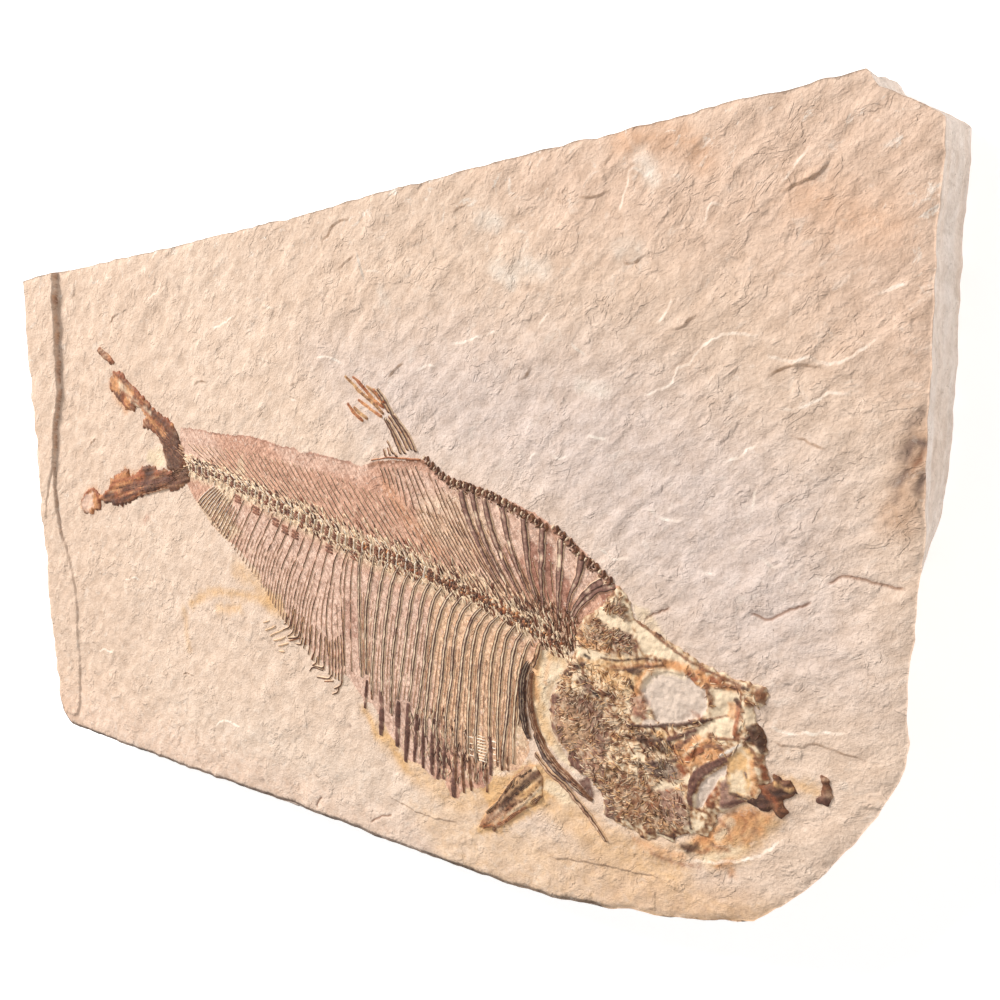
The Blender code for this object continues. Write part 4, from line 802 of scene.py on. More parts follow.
def inside_by(x, y, outline):
    """How far each place is inside an outline, or minus how far outside it."""
    inside = np.zeros(np.shape(x), bool)
    previous = outline[-1]
    for corner in outline:
        if corner[1] != previous[1]:
            crosses = (corner[1] > y) != (previous[1] > y)
            at = (previous[0] - corner[0]) * (y - corner[1]) / (previous[1] - corner[1]) + corner[0]
            inside ^= crosses & (x < at)
        previous = corner
    away = distance(x, y, (*outline, outline[0]))
    return np.where(inside, away, -away)


def near_line(x, y, line, reach):
    """Which places are in the box round a line, reach wider on every side."""
    low, high = np.min(line, axis=0) - reach, np.max(line, axis=0) + reach
    return (x > low[0]) & (x < high[0]) & (y > low[1]) & (y < high[1])


def shift(points, by=FISH_AT):
    return tuple((p[0] + by[0], p[1] + by[1]) for p in points)


PLACED_FILM = shift(FILM)


def colour(name):
    """A palette colour in linear light."""
    seen = np.array(PALETTE[name]) / 255
    return np.where(seen <= 0.04045, seen / 12.92, ((seen + 0.055) / 1.055) ** 2.4)


def filled(name, count):
    """One palette colour for each of count points."""
    return np.repeat(colour(name)[None], count, axis=0)


def mixed(a, b, part):
    """The blend of two colours, or of two arrays of colours."""
    part = np.asarray(part)[..., None]
    return a * (1 - part) + b * part


def toned(tone, tint):
    """Colours for tones from 0, the darkest, to 1, the palest."""
    keys = np.array([colour(name) for name in TINTS[tint]])
    places = np.linspace(0, 1, len(keys))
    return np.stack([np.interp(tone, places, keys[:, k]) for k in range(3)], axis=-1)


def brush(x, y, colours, heights, strokes, moved=FISH_AT, ragged=0.5):
    """Paints strokes on colours, and raises heights by them."""
    for number, (name, strength, soft, half, rise, points) in enumerate(strokes):
        points = shift(points, moved)
        near = near_line(x, y, points, soft + (half or 0) + 2)
        if not near.any():
            continue
        u, v = x[near], y[near]
        deep = inside_by(u, v, points) if half is None else half - distance(u, v, points)
        rough = min(1, soft) * ragged
        deep = deep + 1.2 * rough * noise(u, v, 1.9, number) + rough * noise(u, v, 0.8, number + 0.5)
        uneven = 1 + 0.8 * (1.08 - strength) * noise(u, v, 0.9, number + 0.7)
        part = np.clip(strength * smooth(-soft, soft, deep) * uneven, 0, 1)
        colours[near] = mixed(colours[near], colour(name), part)
        heights[near] += rise * part


# ---------------------------------------------------------------- the height of the stone
def remnant_rise(x, y):
    """Height of the two thin layers left on the tail-side edge."""
    total = np.zeros(np.shape(x))
    near = np.asarray(x) < -105
    if near.any():
        u, v = x[near], y[near]
        height = REMNANT_END_RISE + (REMNANT_TOP_RISE - REMNANT_END_RISE) * smooth(0, 78, v)
        edge = 0.35 * noise(u, v, 2.4, 71) + 0.2 * noise(u, v, 1.1, 72)
        deep = inside_by(u, v, REMNANT)
        upper = height * smooth(0, REMNANT_RISER, deep + edge)
        skin_height = SKIN_LOW_RISE + (SKIN_RISE - SKIN_LOW_RISE) * smooth(-15, 5, v)
        lower = skin_height * smooth(0, REMNANT_RISER, inside_by(u, v, SKIN) + edge)
        total[near] = np.maximum(upper, lower)
    return total


def ground(x, y):
    """Height of the split face, before its flakes and its worn rim."""
    clear = smooth(0, 9, -inside_by(x, y, FISH_FIELD))
    calm = 1 - 0.75 * smooth(-3, 1, inside_by(x, y, PLACED_FILM))
    large = BUMP * clear * (noise(x, y, 34, 1.3) + 0.6 * noise(x, y, 15, 5.1))
    small = 0.2 * streaks(x, y, 5.5, 6) + 0.17 * streaks(x, y, 2.9, 7) + 0.1 * streaks(x, y, 1.7, 8)
    return FACE + remnant_rise(x, y) + large + calm * small


# ---------------------------------------------------------------- gathering meshes
def added(name, data):
    """A new object in the scene."""
    item = bpy.data.objects.new(name, data)
    bpy.context.scene.collection.objects.link(item)
    return item


class Piece:
    """Points, faces and colours of one piece, gathered bone by bone."""

    def __init__(self):
        self.points, self.faces, self.colours, self.count = [], [], [], 0

    def add(self, points, faces, colours):
        self.points.append(np.reshape(points, (-1, 3)))
        self.colours.append(np.reshape(colours, (-1, 3)))
        self.faces += [[i + self.count for i in face] for face in faces]
        self.count += len(self.points[-1])

    def make(self, name, material, more=None):
        mesh = bpy.data.meshes.new(name)
        mesh.from_pydata((np.vstack(self.points) * MM).tolist(), [], self.faces)
        mesh.validate()
        paints = {"paint": np.vstack(self.colours), **(more or {})}
        for key, values in paints.items():
            values = np.asarray(values, float)
            if values.ndim == 1:
                mesh.attributes.new(key, "FLOAT", "POINT").data.foreach_set("value", values)
                continue
            values = np.column_stack([np.clip(values, 0, 1), np.ones(len(values))])
            mesh.attributes.new(key, "FLOAT_COLOR", "POINT").data.foreach_set("color", values.ravel())
        mesh.shade_smooth()
        mesh.materials.append(material)
        return added(name, mesh)


def tube_faces(rows, columns):
    """The quads of a stack of closed rings, and its two ends."""
    faces = [list(range(columns))[::-1], list(range((rows - 1) * columns, rows * columns))]
    for i in range(rows - 1):
        for k in range(columns):
            a, b = i * columns + k, i * columns + (k + 1) % columns
            faces.append((a, b, b + columns, a + columns))
    return faces


# Across a bone from its left side to its right: place, height and tone
SECTIONS = {
    "rib": (
        (-1, 0, 1), (-0.8, 0.45, 1), (-0.66, 0.9, 0.02), (-0.46, 1, 0.1), (-0.32, 0.8, 0.8), (0, 0.75, 1),
        (0.14, 0.9, 0.1), (0.34, 0.95, 0), (0.54, 0.85, 0.15), (0.68, 0.5, 1), (1, 0, 1),
    ),
    "line": (
        (-1, 0, 1), (-0.66, 0.5, 1), (-0.4, 0.9, 0.1), (0, 1, 0), (0.4, 0.8, 0.12), (0.66, 0.4, 1),
        (1, 0, 0.95),
    ),
    "bare": ((-1, 0, 0.45), (-0.6, 0.8, 0.15), (0, 1, 0.05), (0.55, 0.8, 0.3), (1, 0, 0.5)),
    "blade": (
        (-1, 0, 1), (-0.78, 0.6, 1), (-0.62, 0.95, 0.15), (-0.45, 0.8, 0.5), (-0.1, 0.7, 0.7),
        (0.25, 0.7, 0.5), (0.45, 0.85, 0.4), (0.62, 1, 0.02), (0.8, 0.8, 0.1), (0.92, 0.4, 1), (1, 0, 1),
    ),
    "ridged": (
        (-1, 0, 0.9), (-0.84, 0.7, 0.4), (-0.66, 1, 0.1), (-0.5, 0.7, 0.5), (-0.3, 0.55, 1),
        (-0.14, 0.9, 0.3), (0.08, 1, 0.1), (0.26, 0.7, 0.5), (0.4, 0.55, 1), (0.58, 0.95, 0.2),
        (0.8, 0.7, 0.3), (1, 0, 0.8),
    ),
    "pale": ((-1, 0, 0.2), (-0.5, 0.8, 0.7), (0, 1, 1), (0.5, 0.8, 0.8), (1, 0, 0.2)),
}  # fmt: skip


def strip(piece, points, widths, rise, section="line", tint="brown", step=0.5, seed=0.0, pale=0.0, gaps=0.5):
    """A long low bone along points, with half widths given from its start to its end."""
    line = smooth_line(points, step) + FISH_AT
    count = len(line)
    part = np.linspace(0, 1, count)
    half = np.interp(part, np.linspace(0, 1, len(widths)), widths)
    across, profile, tones = np.array(SECTIONS[section], float).T
    line = line + 0.1 * np.column_stack([noise(*line.T, 2.2, seed), noise(*line.T, 2.2, seed + 3)])
    along = np.gradient(line, axis=0)
    along /= np.hypot(*along.T)[:, None] + 1e-9
    side = np.column_stack([-along[:, 1], along[:, 0]])
    half = half * (1 + 0.25 * noise(*line.T, 1.6, seed + 5))
    spots = line[:, None] + side[:, None] * (half[:, None] * across)[..., None]
    x, y = spots[..., 0], spots[..., 1]
    taper = np.minimum(1, np.minimum(part, 1 - part) * count * step / 0.7 + 0.25)[:, None]
    whole = 1 - gaps * smooth(-0.1, -0.6, noise(*line.T, 2.1, seed + 7))[:, None]
    low = ground(x.ravel(), y.ravel()).reshape(x.shape)
    z = low + rise * profile * whole * (0.9 + 0.3 * noise(x, y, 0.9, seed)) * taper
    z[:, [0, -1]] = low[:, [0, -1]] - SUNK
    z[[0, -1]] = low[[0, -1]] - SUNK
    tone = tones + pale + 0.2 * noise(x, y, 0.7, seed + 1) + 0.2 * noise(x, y, 3.1, seed + 2)
    tone = tone + (1 - whole) * 0.6
    colours = toned(np.clip(tone, 0, 1), tint)
    piece.add(np.stack([x, y, z], axis=-1), tube_faces(count, len(across)), colours)


def row(piece, patterns, count, widths, rise, seed=0.0, weak=0, **look):
    """A row of slender bones blended from patterns. All but every weak-th are thin and start late."""
    last = patterns[-1][0]
    for k in range(count):
        points = between(patterns, k * last / (count - 1))
        number = seed + 0.37 * k
        if weak and k % weak:
            thin = 0.08, 0.2, 0.24, 0.2
            strip(piece, points[2 + k % 2 :], thin, 0.7 * rise, seed=number, pale=0.2, **look)
        else:
            strip(piece, points, widths, rise, seed=number, **look)


def lumps(piece, x, y, long, wide, angle, rise, colours, base=None, seed=1, sides=6, sunk=SUNK):
    """Low rounded lumps or slivers, each with its own size, direction and colour."""
    chance = np.random.default_rng(seed)
    count = len(x)
    turn = np.linspace(0, 2 * math.pi, sides, endpoint=False)
    base = ground(x, y) if base is None else base
    shape = 1 + 0.22 * chance.uniform(-1, 1, (count, sides))
    rings = []
    for reach, up in ((1.0, None), (0.72, 0.75)):
        u = reach * shape * np.cos(turn) * long[:, None]
        v = reach * shape * np.sin(turn) * wide[:, None]
        px = x[:, None] + u * np.cos(angle)[:, None] - v * np.sin(angle)[:, None]
        py = y[:, None] + u * np.sin(angle)[:, None] + v * np.cos(angle)[:, None]
        pz = base[:, None] + (-sunk if up is None else up * rise[:, None]) + 0 * px
        rings.append(np.stack([px, py, pz], -1))
    tops = np.stack([x, y, base + rise], -1)[:, None]
    points = np.concatenate([*rings, tops], axis=1)
    faces = [tuple(range(sides))[::-1]]
    for k in range(sides):
        after = (k + 1) % sides
        faces.append((k, after, sides + after, sides + k))
        faces.append((sides + k, sides + after, 2 * sides))
    size = 2 * sides + 1
    for i in range(count):
        piece.faces += [[k + piece.count + i * size for k in face] for face in faces]
    piece.points.append(points.reshape(-1, 3))
    piece.colours.append(np.repeat(colours, size, axis=0))
    piece.count += count * size


def crumbs(piece, outline, count, long, wide, rise, tint, seed, tones, angle=None):
    """Slivers strewn over an outline, at random or along one angle."""
    chance = np.random.default_rng(seed)
    placed = shift(outline)
    low, high = np.min(placed, axis=0), np.max(placed, axis=0)
    tries = chance.uniform(low, high, (count * 8, 2))
    x, y = tries[inside_by(tries[:, 0], tries[:, 1], placed) > 0][:count].T
    turn = chance.uniform(0, math.pi, len(x)) if angle is None else chance.normal(angle, 0.3, len(x))
    ends = [chance.uniform(0.4 * v, v, len(x)) for v in (long, wide, rise)]
    colours = toned(chance.choice(tones, len(x)), tint)
    lumps(piece, x, y, ends[0], ends[1], turn, ends[2], colours, seed=seed)


def lattice(low, high, step, seed):
    """Staggered rows of places, each a little off its own."""
    chance = np.random.default_rng(seed)
    x, y = np.meshgrid(np.arange(low[0], high[0], step), np.arange(low[1], high[1], step * 0.866))
    x[::2] += step / 2
    x = x + chance.uniform(-0.2, 0.2, x.shape) * step
    y = y + chance.uniform(-0.2, 0.2, y.shape) * step
    return x.ravel(), y.ravel()


def cover(rim, x, y):
    """Triangles over a closed rim and the places inside it."""
    flat = [Vector(p) for p in rim] + [Vector(p) for p in zip(x, y)]
    edges = [(i, (i + 1) % len(rim)) for i in range(len(rim))]
    points, _, faces, origins, _, _ = geometry.delaunay_2d_cdt(flat, edges, [], 1, 1e-5)
    where = {min(origin): new for new, origin in enumerate(origins)}
    return np.array(points), faces, [where[i] for i in range(len(rim))]


def signed_area(rim):
    """Twice the area in a closed rim, positive where it runs anticlockwise."""
    return np.sum(rim[:, 0] * np.roll(rim[:, 1], -1) - np.roll(rim[:, 0], -1) * rim[:, 1])


def outward(rim):
    """The direction out of a closed rim at each of its points."""
    along = np.roll(rim, -1, axis=0) - np.roll(rim, 1, axis=0)
    side = np.column_stack([along[:, 1], -along[:, 0]]) * math.copysign(1, signed_area(rim))
    return side / (np.hypot(*along.T)[:, None] + 1e-9)


def plate(piece, outline, step, height, paint, seed=0.0, ragged=0.25):
    """A sheet of bone with a ragged rim, closed below."""
    placed = shift(outline)
    rim = evenly((*placed, placed[0]), step)[:-1]
    uneven = ragged * (noise(*rim.T, 1.7, seed) + 0.7 * noise(*rim.T, 0.7, seed + 1))
    rim = rim + outward(rim) * uneven[:, None]
    rim = rim if signed_area(rim) > 0 else rim[::-1]
    rim_points = tuple(map(tuple, rim))
    x, y = lattice(rim.min(0), rim.max(0), step, int(seed * 10) + 3)
    keep = inside_by(x, y, rim_points) > step * 0.45
    spots, faces, ring = cover(rim, x[keep], y[keep])
    x, y = spots.T
    deep = np.maximum(inside_by(x, y, rim_points), 0)
    colours, rises = paint(x, y)
    low = ground(x, y)
    z = low + height(x, y, deep) + rises * smooth(0, 0.8, deep)
    count = len(spots)
    under = np.column_stack([spots[ring], low[ring] - SUNK])
    faces = [list(face) for face in faces] + [[count + k for k in range(len(ring))][::-1]]
    for k in range(len(ring)):
        after = (k + 1) % len(ring)
        faces.append([count + k, count + after, ring[after], ring[k]])
    piece.add(np.vstack([np.column_stack([x, y, z]), under]), faces, np.vstack([colours, colours[ring]]))


# ---------------------------------------------------------------- the slab
def slab_rim():
    """The slab's rim with small chips, and the direction out of it."""
    rim = evenly((*SLAB_OUTLINE, SLAB_OUTLINE[0]), RIM_STEP)[:-1]
    side = outward(rim)
    chips = 0.3 * noise(*rim.T, 7, 11) + 0.22 * noise(*rim.T, 2.6, 12) - 0.12
    return rim + side * chips[:, None], side


def wavering(points, seed):
    """A flake's or crack's line on the slab, a little crooked."""
    line = smooth_line(points, 0.45) + FISH_AT
    crooked = [0.3 * noise(*line.T, 2.4, seed + k) + 0.2 * noise(*line.T, 1.1, seed + k + 2) for k in (0, 1)]
    return line + np.column_stack(crooked)


def raise_flakes(x, y, z, colours):
    """Lifts each flake over its edge and colours the edge by how it meets the light."""
    for number, (up, points) in enumerate(FLAKES):
        line = wavering(points, number)
        near = near_line(x, y, line, FLAKE_REACH)
        side, place, total = beside(x[near], y[near], line)
        taper = smooth(0, 3, place) * smooth(0, 3, total - place)
        z[near] += FLAKE_LIFT * up * (smooth(-0.1, 0.1, side) - 0.5) * np.exp(-abs(side) / 3) * taper
        edge = smooth(0.42, 0.08, abs(side)) * taper * (0.65 + 0.7 * noise(x[near], y[near], 1.8, number))
        tint = colour("chalk" if up < 0 else "shade")
        colours[near] = mixed(colours[near], tint, np.clip(edge * 0.8, 0, 1))


def open_cracks(x, y, z, colours):
    """Sinks and darkens the cracks and the small pits."""
    for number, (half, points) in enumerate(CRACKS):
        line = wavering(points, CRACK_SEED + number)
        near = near_line(x, y, line, 2)
        side, place, total = beside(x[near], y[near], line)
        part = smooth(half + 0.22, half - 0.02, abs(side)) * smooth(0, 1, place) * smooth(0, 1, total - place)
        z[near] -= CRACK_DEPTH * part
        colours[near] = mixed(colours[near], colour("brown"), 0.65 * part)
    for px, py, radius in PITS:
        away = np.hypot(x - px - FISH_AT[0], y - py - FISH_AT[1])
        part = smooth(radius + 0.3, radius - 0.3, away)
        z -= PIT_DEPTH * part
        colours += (colour("pit") - colours) * (0.6 * part)[:, None]


def fine_field(x, y, less=0.0):
    """Where the face needs its finest points: on the film, round the skull and round the small fin."""
    film = inside_by(x, y, PLACED_FILM) > less - 1.4
    head = abs(inside_by(x, y, shift(HEAD)) + 2.5) < 3.2 - less
    return film | head | (inside_by(x, y, shift(PECTORAL)) > less - 3)


def slab_places(outline):
    """Where the face has its points: fine in the fish, coarse on the stone, in rows along every edge."""
    x, y = lattice((-156, -84), (156, 84), FACE_STEP, 21)
    keep = (inside_by(x, y, outline) > FACE_STEP * 0.5) & ~fine_field(x, y, 0.2)
    fine_x, fine_y = lattice((-64, -70), (124, 32), FISH_STEP, 22)
    fine = fine_field(fine_x, fine_y)
    rows = [np.array([x[keep], y[keep]]), np.array([fine_x[fine], fine_y[fine]])]
    for lines, seed, sides in (
        (FLAKES, 0, (-0.42, -0.1, 0.1, 0.42)),
        (CRACKS, CRACK_SEED, (-0.4, -0.12, 0, 0.12, 0.4)),
    ):
        for number, (_, points) in enumerate(lines):
            line = wavering(points, seed + number)
            side = np.gradient(line, axis=0)[:, ::-1] * (-1, 1)
            side /= np.hypot(*side.T)[:, None]
            for across in sides:
                rows.append((line + across * side).T)
    for layer in (REMNANT, SKIN):
        line = evenly([p for p in layer if p[0] > -150], 0.75)
        for back in np.linspace(-0.3, REMNANT_RISER + 0.3, 6):
            rows.append((line - np.array((back, 0))).T)
    return np.hstack(rows)


def paint_edges(x, y, inside, colours):
    """Colours of the low step's broken edge with painted shade at its foot, and a painted shadow line along
    the bottom rim.
    """
    rise = remnant_rise(x, y)
    riser = smooth(0.02, 0.2, rise) * smooth(0.25, 0.5, remnant_rise(x - 0.8, y) - rise)
    bands = 0.5 + 0.7 * streaks(x, y, 0.8, 44, math.radians(72), 0.25) + 0.3 * noise(x, y, 3.5, 45)
    banded = mixed(colour("orange"), colour("rust"), np.clip(bands, 0, 1))
    part = riser * (0.1 + 0.4 * smooth(0, 40, y)) * smooth(-0.6, 0.3, noise(x, y, 4, 46))
    colours = mixed(colours, banded, part)
    # painted shade: a brown band in the crease at the foot of the step
    foot = smooth(0, 0.08, rise) * smooth(0.5, 0.2, rise) * smooth(-20, 10, y)
    colours = mixed(colours, colour("brown"), 0.6 * foot)
    # painted shadow: a black line along the face's bottom rim, standing in for the slab's shadow on the floor
    ragged = inside + 0.3 * noise(x, y, 3, 47)
    bottom_rim_shadow = smooth(1.25, 0.75, ragged) * smooth(-60, -70, y) * smooth(84, 74, x)
    return mixed(colours, colour("black"), 0.75 * bottom_rim_shadow)


def slab_walls(rim, side, levels):
    """Rings of points down the slab's side, bulged by its layers, and their colours, with painted shade on
    the sides facing the light and along the bottom edge.
    """
    broken = smooth(BROKEN_FAR, BROKEN_NEAR, np.hypot(*(rim - BROKEN_CORNER).T))
    known, bulges = zip(*WALL_LEVELS)
    turn = np.arange(len(rim)) * RIM_STEP
    # painted shadow: the walls' top ring along the bottom edge is darkened, carrying on the painted shadow
    # line of the bottom rim
    bottom_wall_shadow = smooth(-60, -70, rim[:, 1]) * smooth(80, 70, rim[:, 0])
    # painted shade: wall sides that face the softbox are made up to about a third darker
    lit_side_shade = 1 - 0.36 * np.clip(side @ (-0.7, 0.7), 0, 1)[:, None]
    rings, colours = [], []
    for level in levels:
        flat = np.full(len(rim), level)
        out = np.interp(level, known, bulges) - UNDERCUT * broken * (1 - level / FACE)
        lamina = 0.16 * noise(turn, flat * 5, 9, 50) + 0.08 * noise(turn, flat * 7, 2.6, 51)
        rings.append(np.column_stack([rim + side * (out + lamina * smooth(-0.5, 1.5, level))[:, None], flat]))
        band = 0.5 + 0.5 * noise(turn, flat * 9, 25, 52)
        tone = mixed(colour("wall"), colour("stone"), 0.6 * band) * lit_side_shade
        colours.append(mixed(tone, colour("dark"), 0.7 * bottom_wall_shadow * smooth(14.2, 15.2, level)))
    return rings, colours


def wall_faces(base, rows, ring):
    """Faces between stacked rings from point base on, up to the face's own ring, and the underside."""
    columns = len(ring)
    faces = []
    for i in range(rows):
        for k in range(columns):
            after = (k + 1) % columns
            a, b = base + i * columns + k, base + i * columns + after
            upper = (b + columns, a + columns) if i + 1 < rows else (ring[after], ring[k])
            faces.append([a, b, *upper])
    return [*faces, [base + k for k in range(columns)][::-1]]


def make_slab():
    rim, side = slab_rim()
    outline = tuple(map(tuple, rim))
    places = slab_places(outline)
    places = places[:, inside_by(*places, outline) > 0.2]
    rings = [(rim - side * depth).T for depth in RIM_RINGS]
    spots, faces, ring = cover(rim, *np.hstack([places, *rings]))
    x, y = spots.T
    inside = np.maximum(inside_by(x, y, outline), 0)
    worn = EDGE_WEAR * (1 - 0.7 * np.maximum(smooth(50, 65, y), smooth(120, 138, x)))
    z = ground(x, y) - worn * (1.1 + 0.8 * noise(x, y, 5, 8.2)) * smooth(1.6, 0, inside)
    colours, film = filled("stone", len(x)), filled("film", len(x))
    brush(x, y, colours, z, STONE_STROKES, (0, 0))
    brush(x, y, colours, z, FISH_STROKES)
    brush(x, y, film, z, FILM_STROKES)
    raise_flakes(x, y, z, colours)
    open_cracks(x, y, z, colours)
    colours = paint_edges(x, y, inside, colours)
    levels = np.r_[np.arange(0, 15, WALL_STEP), 15.4]
    walls, wall_colours = slab_walls(rim, side, levels)
    all_faces = [list(face) for face in faces] + wall_faces(len(spots), len(levels), ring)
    points = np.vstack([np.column_stack([x, y, z]), *walls])
    piece = Piece()
    piece.add(points, all_faces, np.vstack([colours, *wall_colours]))
    count = len(levels) * len(rim)
    chalk = 0.2 * smooth(-60, -120, x) + smooth(14, 0, inside) * smooth(30, 70, y)
    more = {
        "film_paint": np.vstack([film, filled("film", count)]),
        "film": np.r_[inside_by(x, y, PLACED_FILM), np.full(count, -9.0)],
        "chalk": np.r_[chalk, np.zeros(count)],
        "rough": np.r_[0.25 + 0.75 * smooth(-60, 110, x + 0.6 * y), np.full(count, 0.4)],
    }
    return piece.make("limestone_slab", limestone(), more)


# ---------------------------------------------------------------- bones
def slant(x):
    """The direction of the spines above the backbone, from the head to the tail."""
    return np.radians(np.interp(x, (-44, 0, 66), (146, 124, 114)))


def vertebrae(piece):
    """Striped blocks with a pale waisted ridge between each two, towards the tail."""
    line = smooth_line(BACKBONE[3:], 0.25)
    lengths = np.arange(len(line)) * 0.25
    along = np.gradient(line, axis=0)
    for k, at in enumerate(np.arange(2, lengths[-1] - 1, 2.95)):
        spot = np.array([np.interp(at, lengths, line[:, i]) for i in (0, 1)])
        way = np.array([np.interp(at, lengths, along[:, i]) for i in (0, 1)])
        way /= np.hypot(*way)
        up = np.array((way[1], -way[0]))
        size = 1 - 0.35 * at / lengths[-1]
        for j, offset in enumerate((-1.2, -0.6, 0, 0.6, 1.2)):
            middle = spot + up * offset * size
            reach = way * (0.95 - 0.15 * abs(offset))
            points = middle - reach, middle, middle + reach
            strip(piece, points, (0.24, 0.34, 0.24), 0.36, "bare", "russet", 0.35, k + 0.2 * j, 0.1, 0)
        ridge = spot + way * 1.47
        ends = ridge - up * 1.8 * size, ridge + way * 0.12, ridge + up * 1.8 * size
        strip(piece, ends, (0.4, 0.2, 0.4), 0.5, "pale", "cream", step=0.35, seed=k + 3, gaps=0)
        turn = slant(spot[0])
        top = ends[2] + np.array((math.cos(turn), math.sin(turn))) * 2.6
        strip(piece, (ends[2], top), (0.3, 0.18), 0.35, "pale", "cream", step=0.4, seed=k + 5, gaps=0)
        foot = ends[0] + np.array((-1.0, -1.7))
        strip(piece, (ends[0], foot), (0.22, 0.12), 0.35, "pale", "cream", step=0.4, seed=k + 6, gaps=0)


def lower_blocks(piece):
    for k, spot in enumerate(LOWER_BLOCKS):
        for j in (-1, 0, 1):
            middle = np.array(spot) + np.array((0.25, 0.95)) * 0.8 * j
            ends = middle + (1.5, -0.5), middle, middle - (1.5, -0.5)
            strip(piece, ends, (0.32, 0.44, 0.34), 0.34, "bare", "russet", 0.4, k + j, 0.12, 0)


def backbone_crumbs(piece):
    """The crushed front of the backbone, and slivers between the spines along all of it."""
    chance = np.random.default_rng(5)
    line = smooth_line(BACKBONE, 0.25)
    for count, spread, low, high, sizes, tint, tones, first, last in (
        (480, 0.95, -0.2, 0, (0.35, 0.75), "brown", (0.0, 0.1, 0.3, 0.4, 0.9), 0.0, 0.43),
        (200, 0.9, 0, 0, (0.3, 0.6), "rust", (0.0, 0.3, 0.6), 0.0, 0.48),
        (900, 1.6, 1.4, 6.5, (0.6, 1.7), "russet", (0.0, 0.3, 0.9, 1.0, 1.0), 0.0, 1.0),
        (600, 0.8, -4.2, -1.4, (0.5, 1.5), "russet", (0.1, 0.3, 0.9, 1.0, 1.0), 0.0, 1.0),
    ):  # fmt: skip
        at = (chance.uniform(first, last, count) * (len(line) - 1)).astype(int)
        x, y = line[at].T
        turn = slant(x)
        up = chance.uniform(low, high, count) + chance.normal(0, spread, count)
        x, y = x + up * np.cos(turn), y + up * np.sin(turn)
        long = chance.uniform(*sizes, count)
        wide = long * chance.uniform(0.6, 1, count) if high == 0 else chance.uniform(0.1, 0.2, count)
        turn = turn + chance.normal(0, 0.25, count) if high else chance.uniform(0, 3, count)
        colours = toned(chance.choice(tones, count), tint)
        rises = chance.uniform(0.15, 0.42, count)
        lumps(piece, x + FISH_AT[0], y + FISH_AT[1], long, wide, turn, rises, colours, seed=count, sides=5)


def make_backbone():
    piece = Piece()
    for k, points in enumerate(RIBS):
        tint = "mauve" if k < 12 else ("brown", "mauve", "cheek")[k % 3]
        widths = np.array((0.5, 0.76, 0.82, 0.8, 0.7, 0.5)) * (0.9 + 0.2 * (k * 0.618 % 1))
        strip(piece, points, widths, 0.42, "rib", tint, seed=0.71 * k)
    for k, (half, points) in enumerate(RIB_ENDS):
        look = ("bare", "mauve") if half > 0.6 else ("bare", "brown")
        widths = 0.84 * half * np.array((0.7, 1, 1, 0.6))
        strip(piece, points, widths, 0.45, *look, step=0.4, seed=0.9 * k, pale=0.12)
    for k, (first, last) in enumerate(zip(RIBS[:17], RIBS[1:])):
        middle = (resampled(first) + resampled(last)) / 2
        widths = 0.12, 0.22, 0.22, 0.16
        strip(piece, middle[2:], widths, 0.2, "line", "russet", seed=0.53 * k, pale=0.3, gaps=0.9)
    crumbs(piece, RIB_FOOT, 260, 1.9, 0.17, 0.34, "mauve", 47, (0, 0.5, 0.8, 0.9, 1, 1), math.radians(83))
    for j in range(9):
        y = -48.6 - 0.75 * j
        strip(piece, ((42.3, y), (45.4, y - 0.2)), (0.16, 0.2, 0.16), 0.3, "pale", "cream", seed=j, gaps=0)
        if j % 2:
            strip(piece, ((39.5, y), (41.8, y - 0.2)), (0.14, 0.18), 0.3, "pale", "cream", seed=j + 1, gaps=0)
            strip(piece, ((46.8, y), (49, y - 0.2)), (0.14, 0.18), 0.3, "pale", "cream", seed=j + 2, gaps=0)
    for patterns, count, widths, rise, seed, weak, step, gaps in (
        (SPINES, 57, (0.36, 0.32, 0.2), 0.28, 20, 0, 0.6, 0.95),
        (FAN, 16, (0.22, 0.26, 0.2), 0.24, 30, 0, 0.6, 0.8),
        (UNDER_FIN, 9, (0.34, 0.3, 0.2), 0.24, 35, 0, 0.6, 0.8),
        (LOWER_LINES, 43, (0.3, 0.34, 0.32, 0.28), 0.28, 40, 3, 0.7, 0.8),
    ):
        row(piece, patterns, count, widths, rise, seed, weak, tint="russet", step=step, gaps=gaps)
    for offset in (0, 2.6):
        points = np.array(((9.4, -6), (6.6, -12), (4.8, -20), (3.2, -30), (2, -39))) - (offset, 0.4 * offset)
        strip(piece, points, (0.2, 0.3, 0.3, 0.24), 0.28, "line", "russet", seed=offset, gaps=0.8)
    vertebrae(piece)
    lower_blocks(piece)
    backbone_crumbs(piece)
    crumbs(piece, FAN_FOOT, 260, 1.3, 0.17, 0.36, "brown", 48, (0, 0.2, 0.4, 1), math.radians(100))
    return piece.make("backbone_with_ribs", bone_look())


CHEEK = (
    (72, -27), (67, -33), (66, -42), (69.4, -49), (76, -55), (79, -60), (90, -61.4), (97, -58.6), (97.4, -50),
    (95, -45), (95, -41), (86, -38.6), (88, -30), (80, -27),
)  # fmt: skip
SKULL_BACK = ((74, -22), (77, -18.4), (83, -13), (85.6, -11.6), (87, -17), (88, -24), (80, -24.6), (74, -24))
SNOUT = (
    (90, -27), (96, -24), (105, -26.4), (114, -28.4), (114, -37), (106, -43), (97, -46), (92, -42),
    (88, -34),
)  # fmt: skip


def paint_head(x, y):
    tone = 0.71 + 0.55 * noise(x, y, 1.5, 60) + 0.3 * noise(x, y, 4.1, 61) + 0.5 * noise(x, y, 0.75, 62)
    colours = toned(np.clip(tone, 0, 1), "cheek")
    rises = 0 * x
    brush(x, y, colours, rises, HEAD_STROKES, ragged=0.6)
    return colours, rises


def head_height(x, y, deep):
    rough = 0.2 * noise(x, y, 3.3, 63) + 0.17 * noise(x, y, 1.4, 64) + 0.11 * noise(x, y, 0.75, 65)
    return 0.22 + 0.5 * smooth(0, 1.5, deep) + rough * smooth(0, 1, deep)


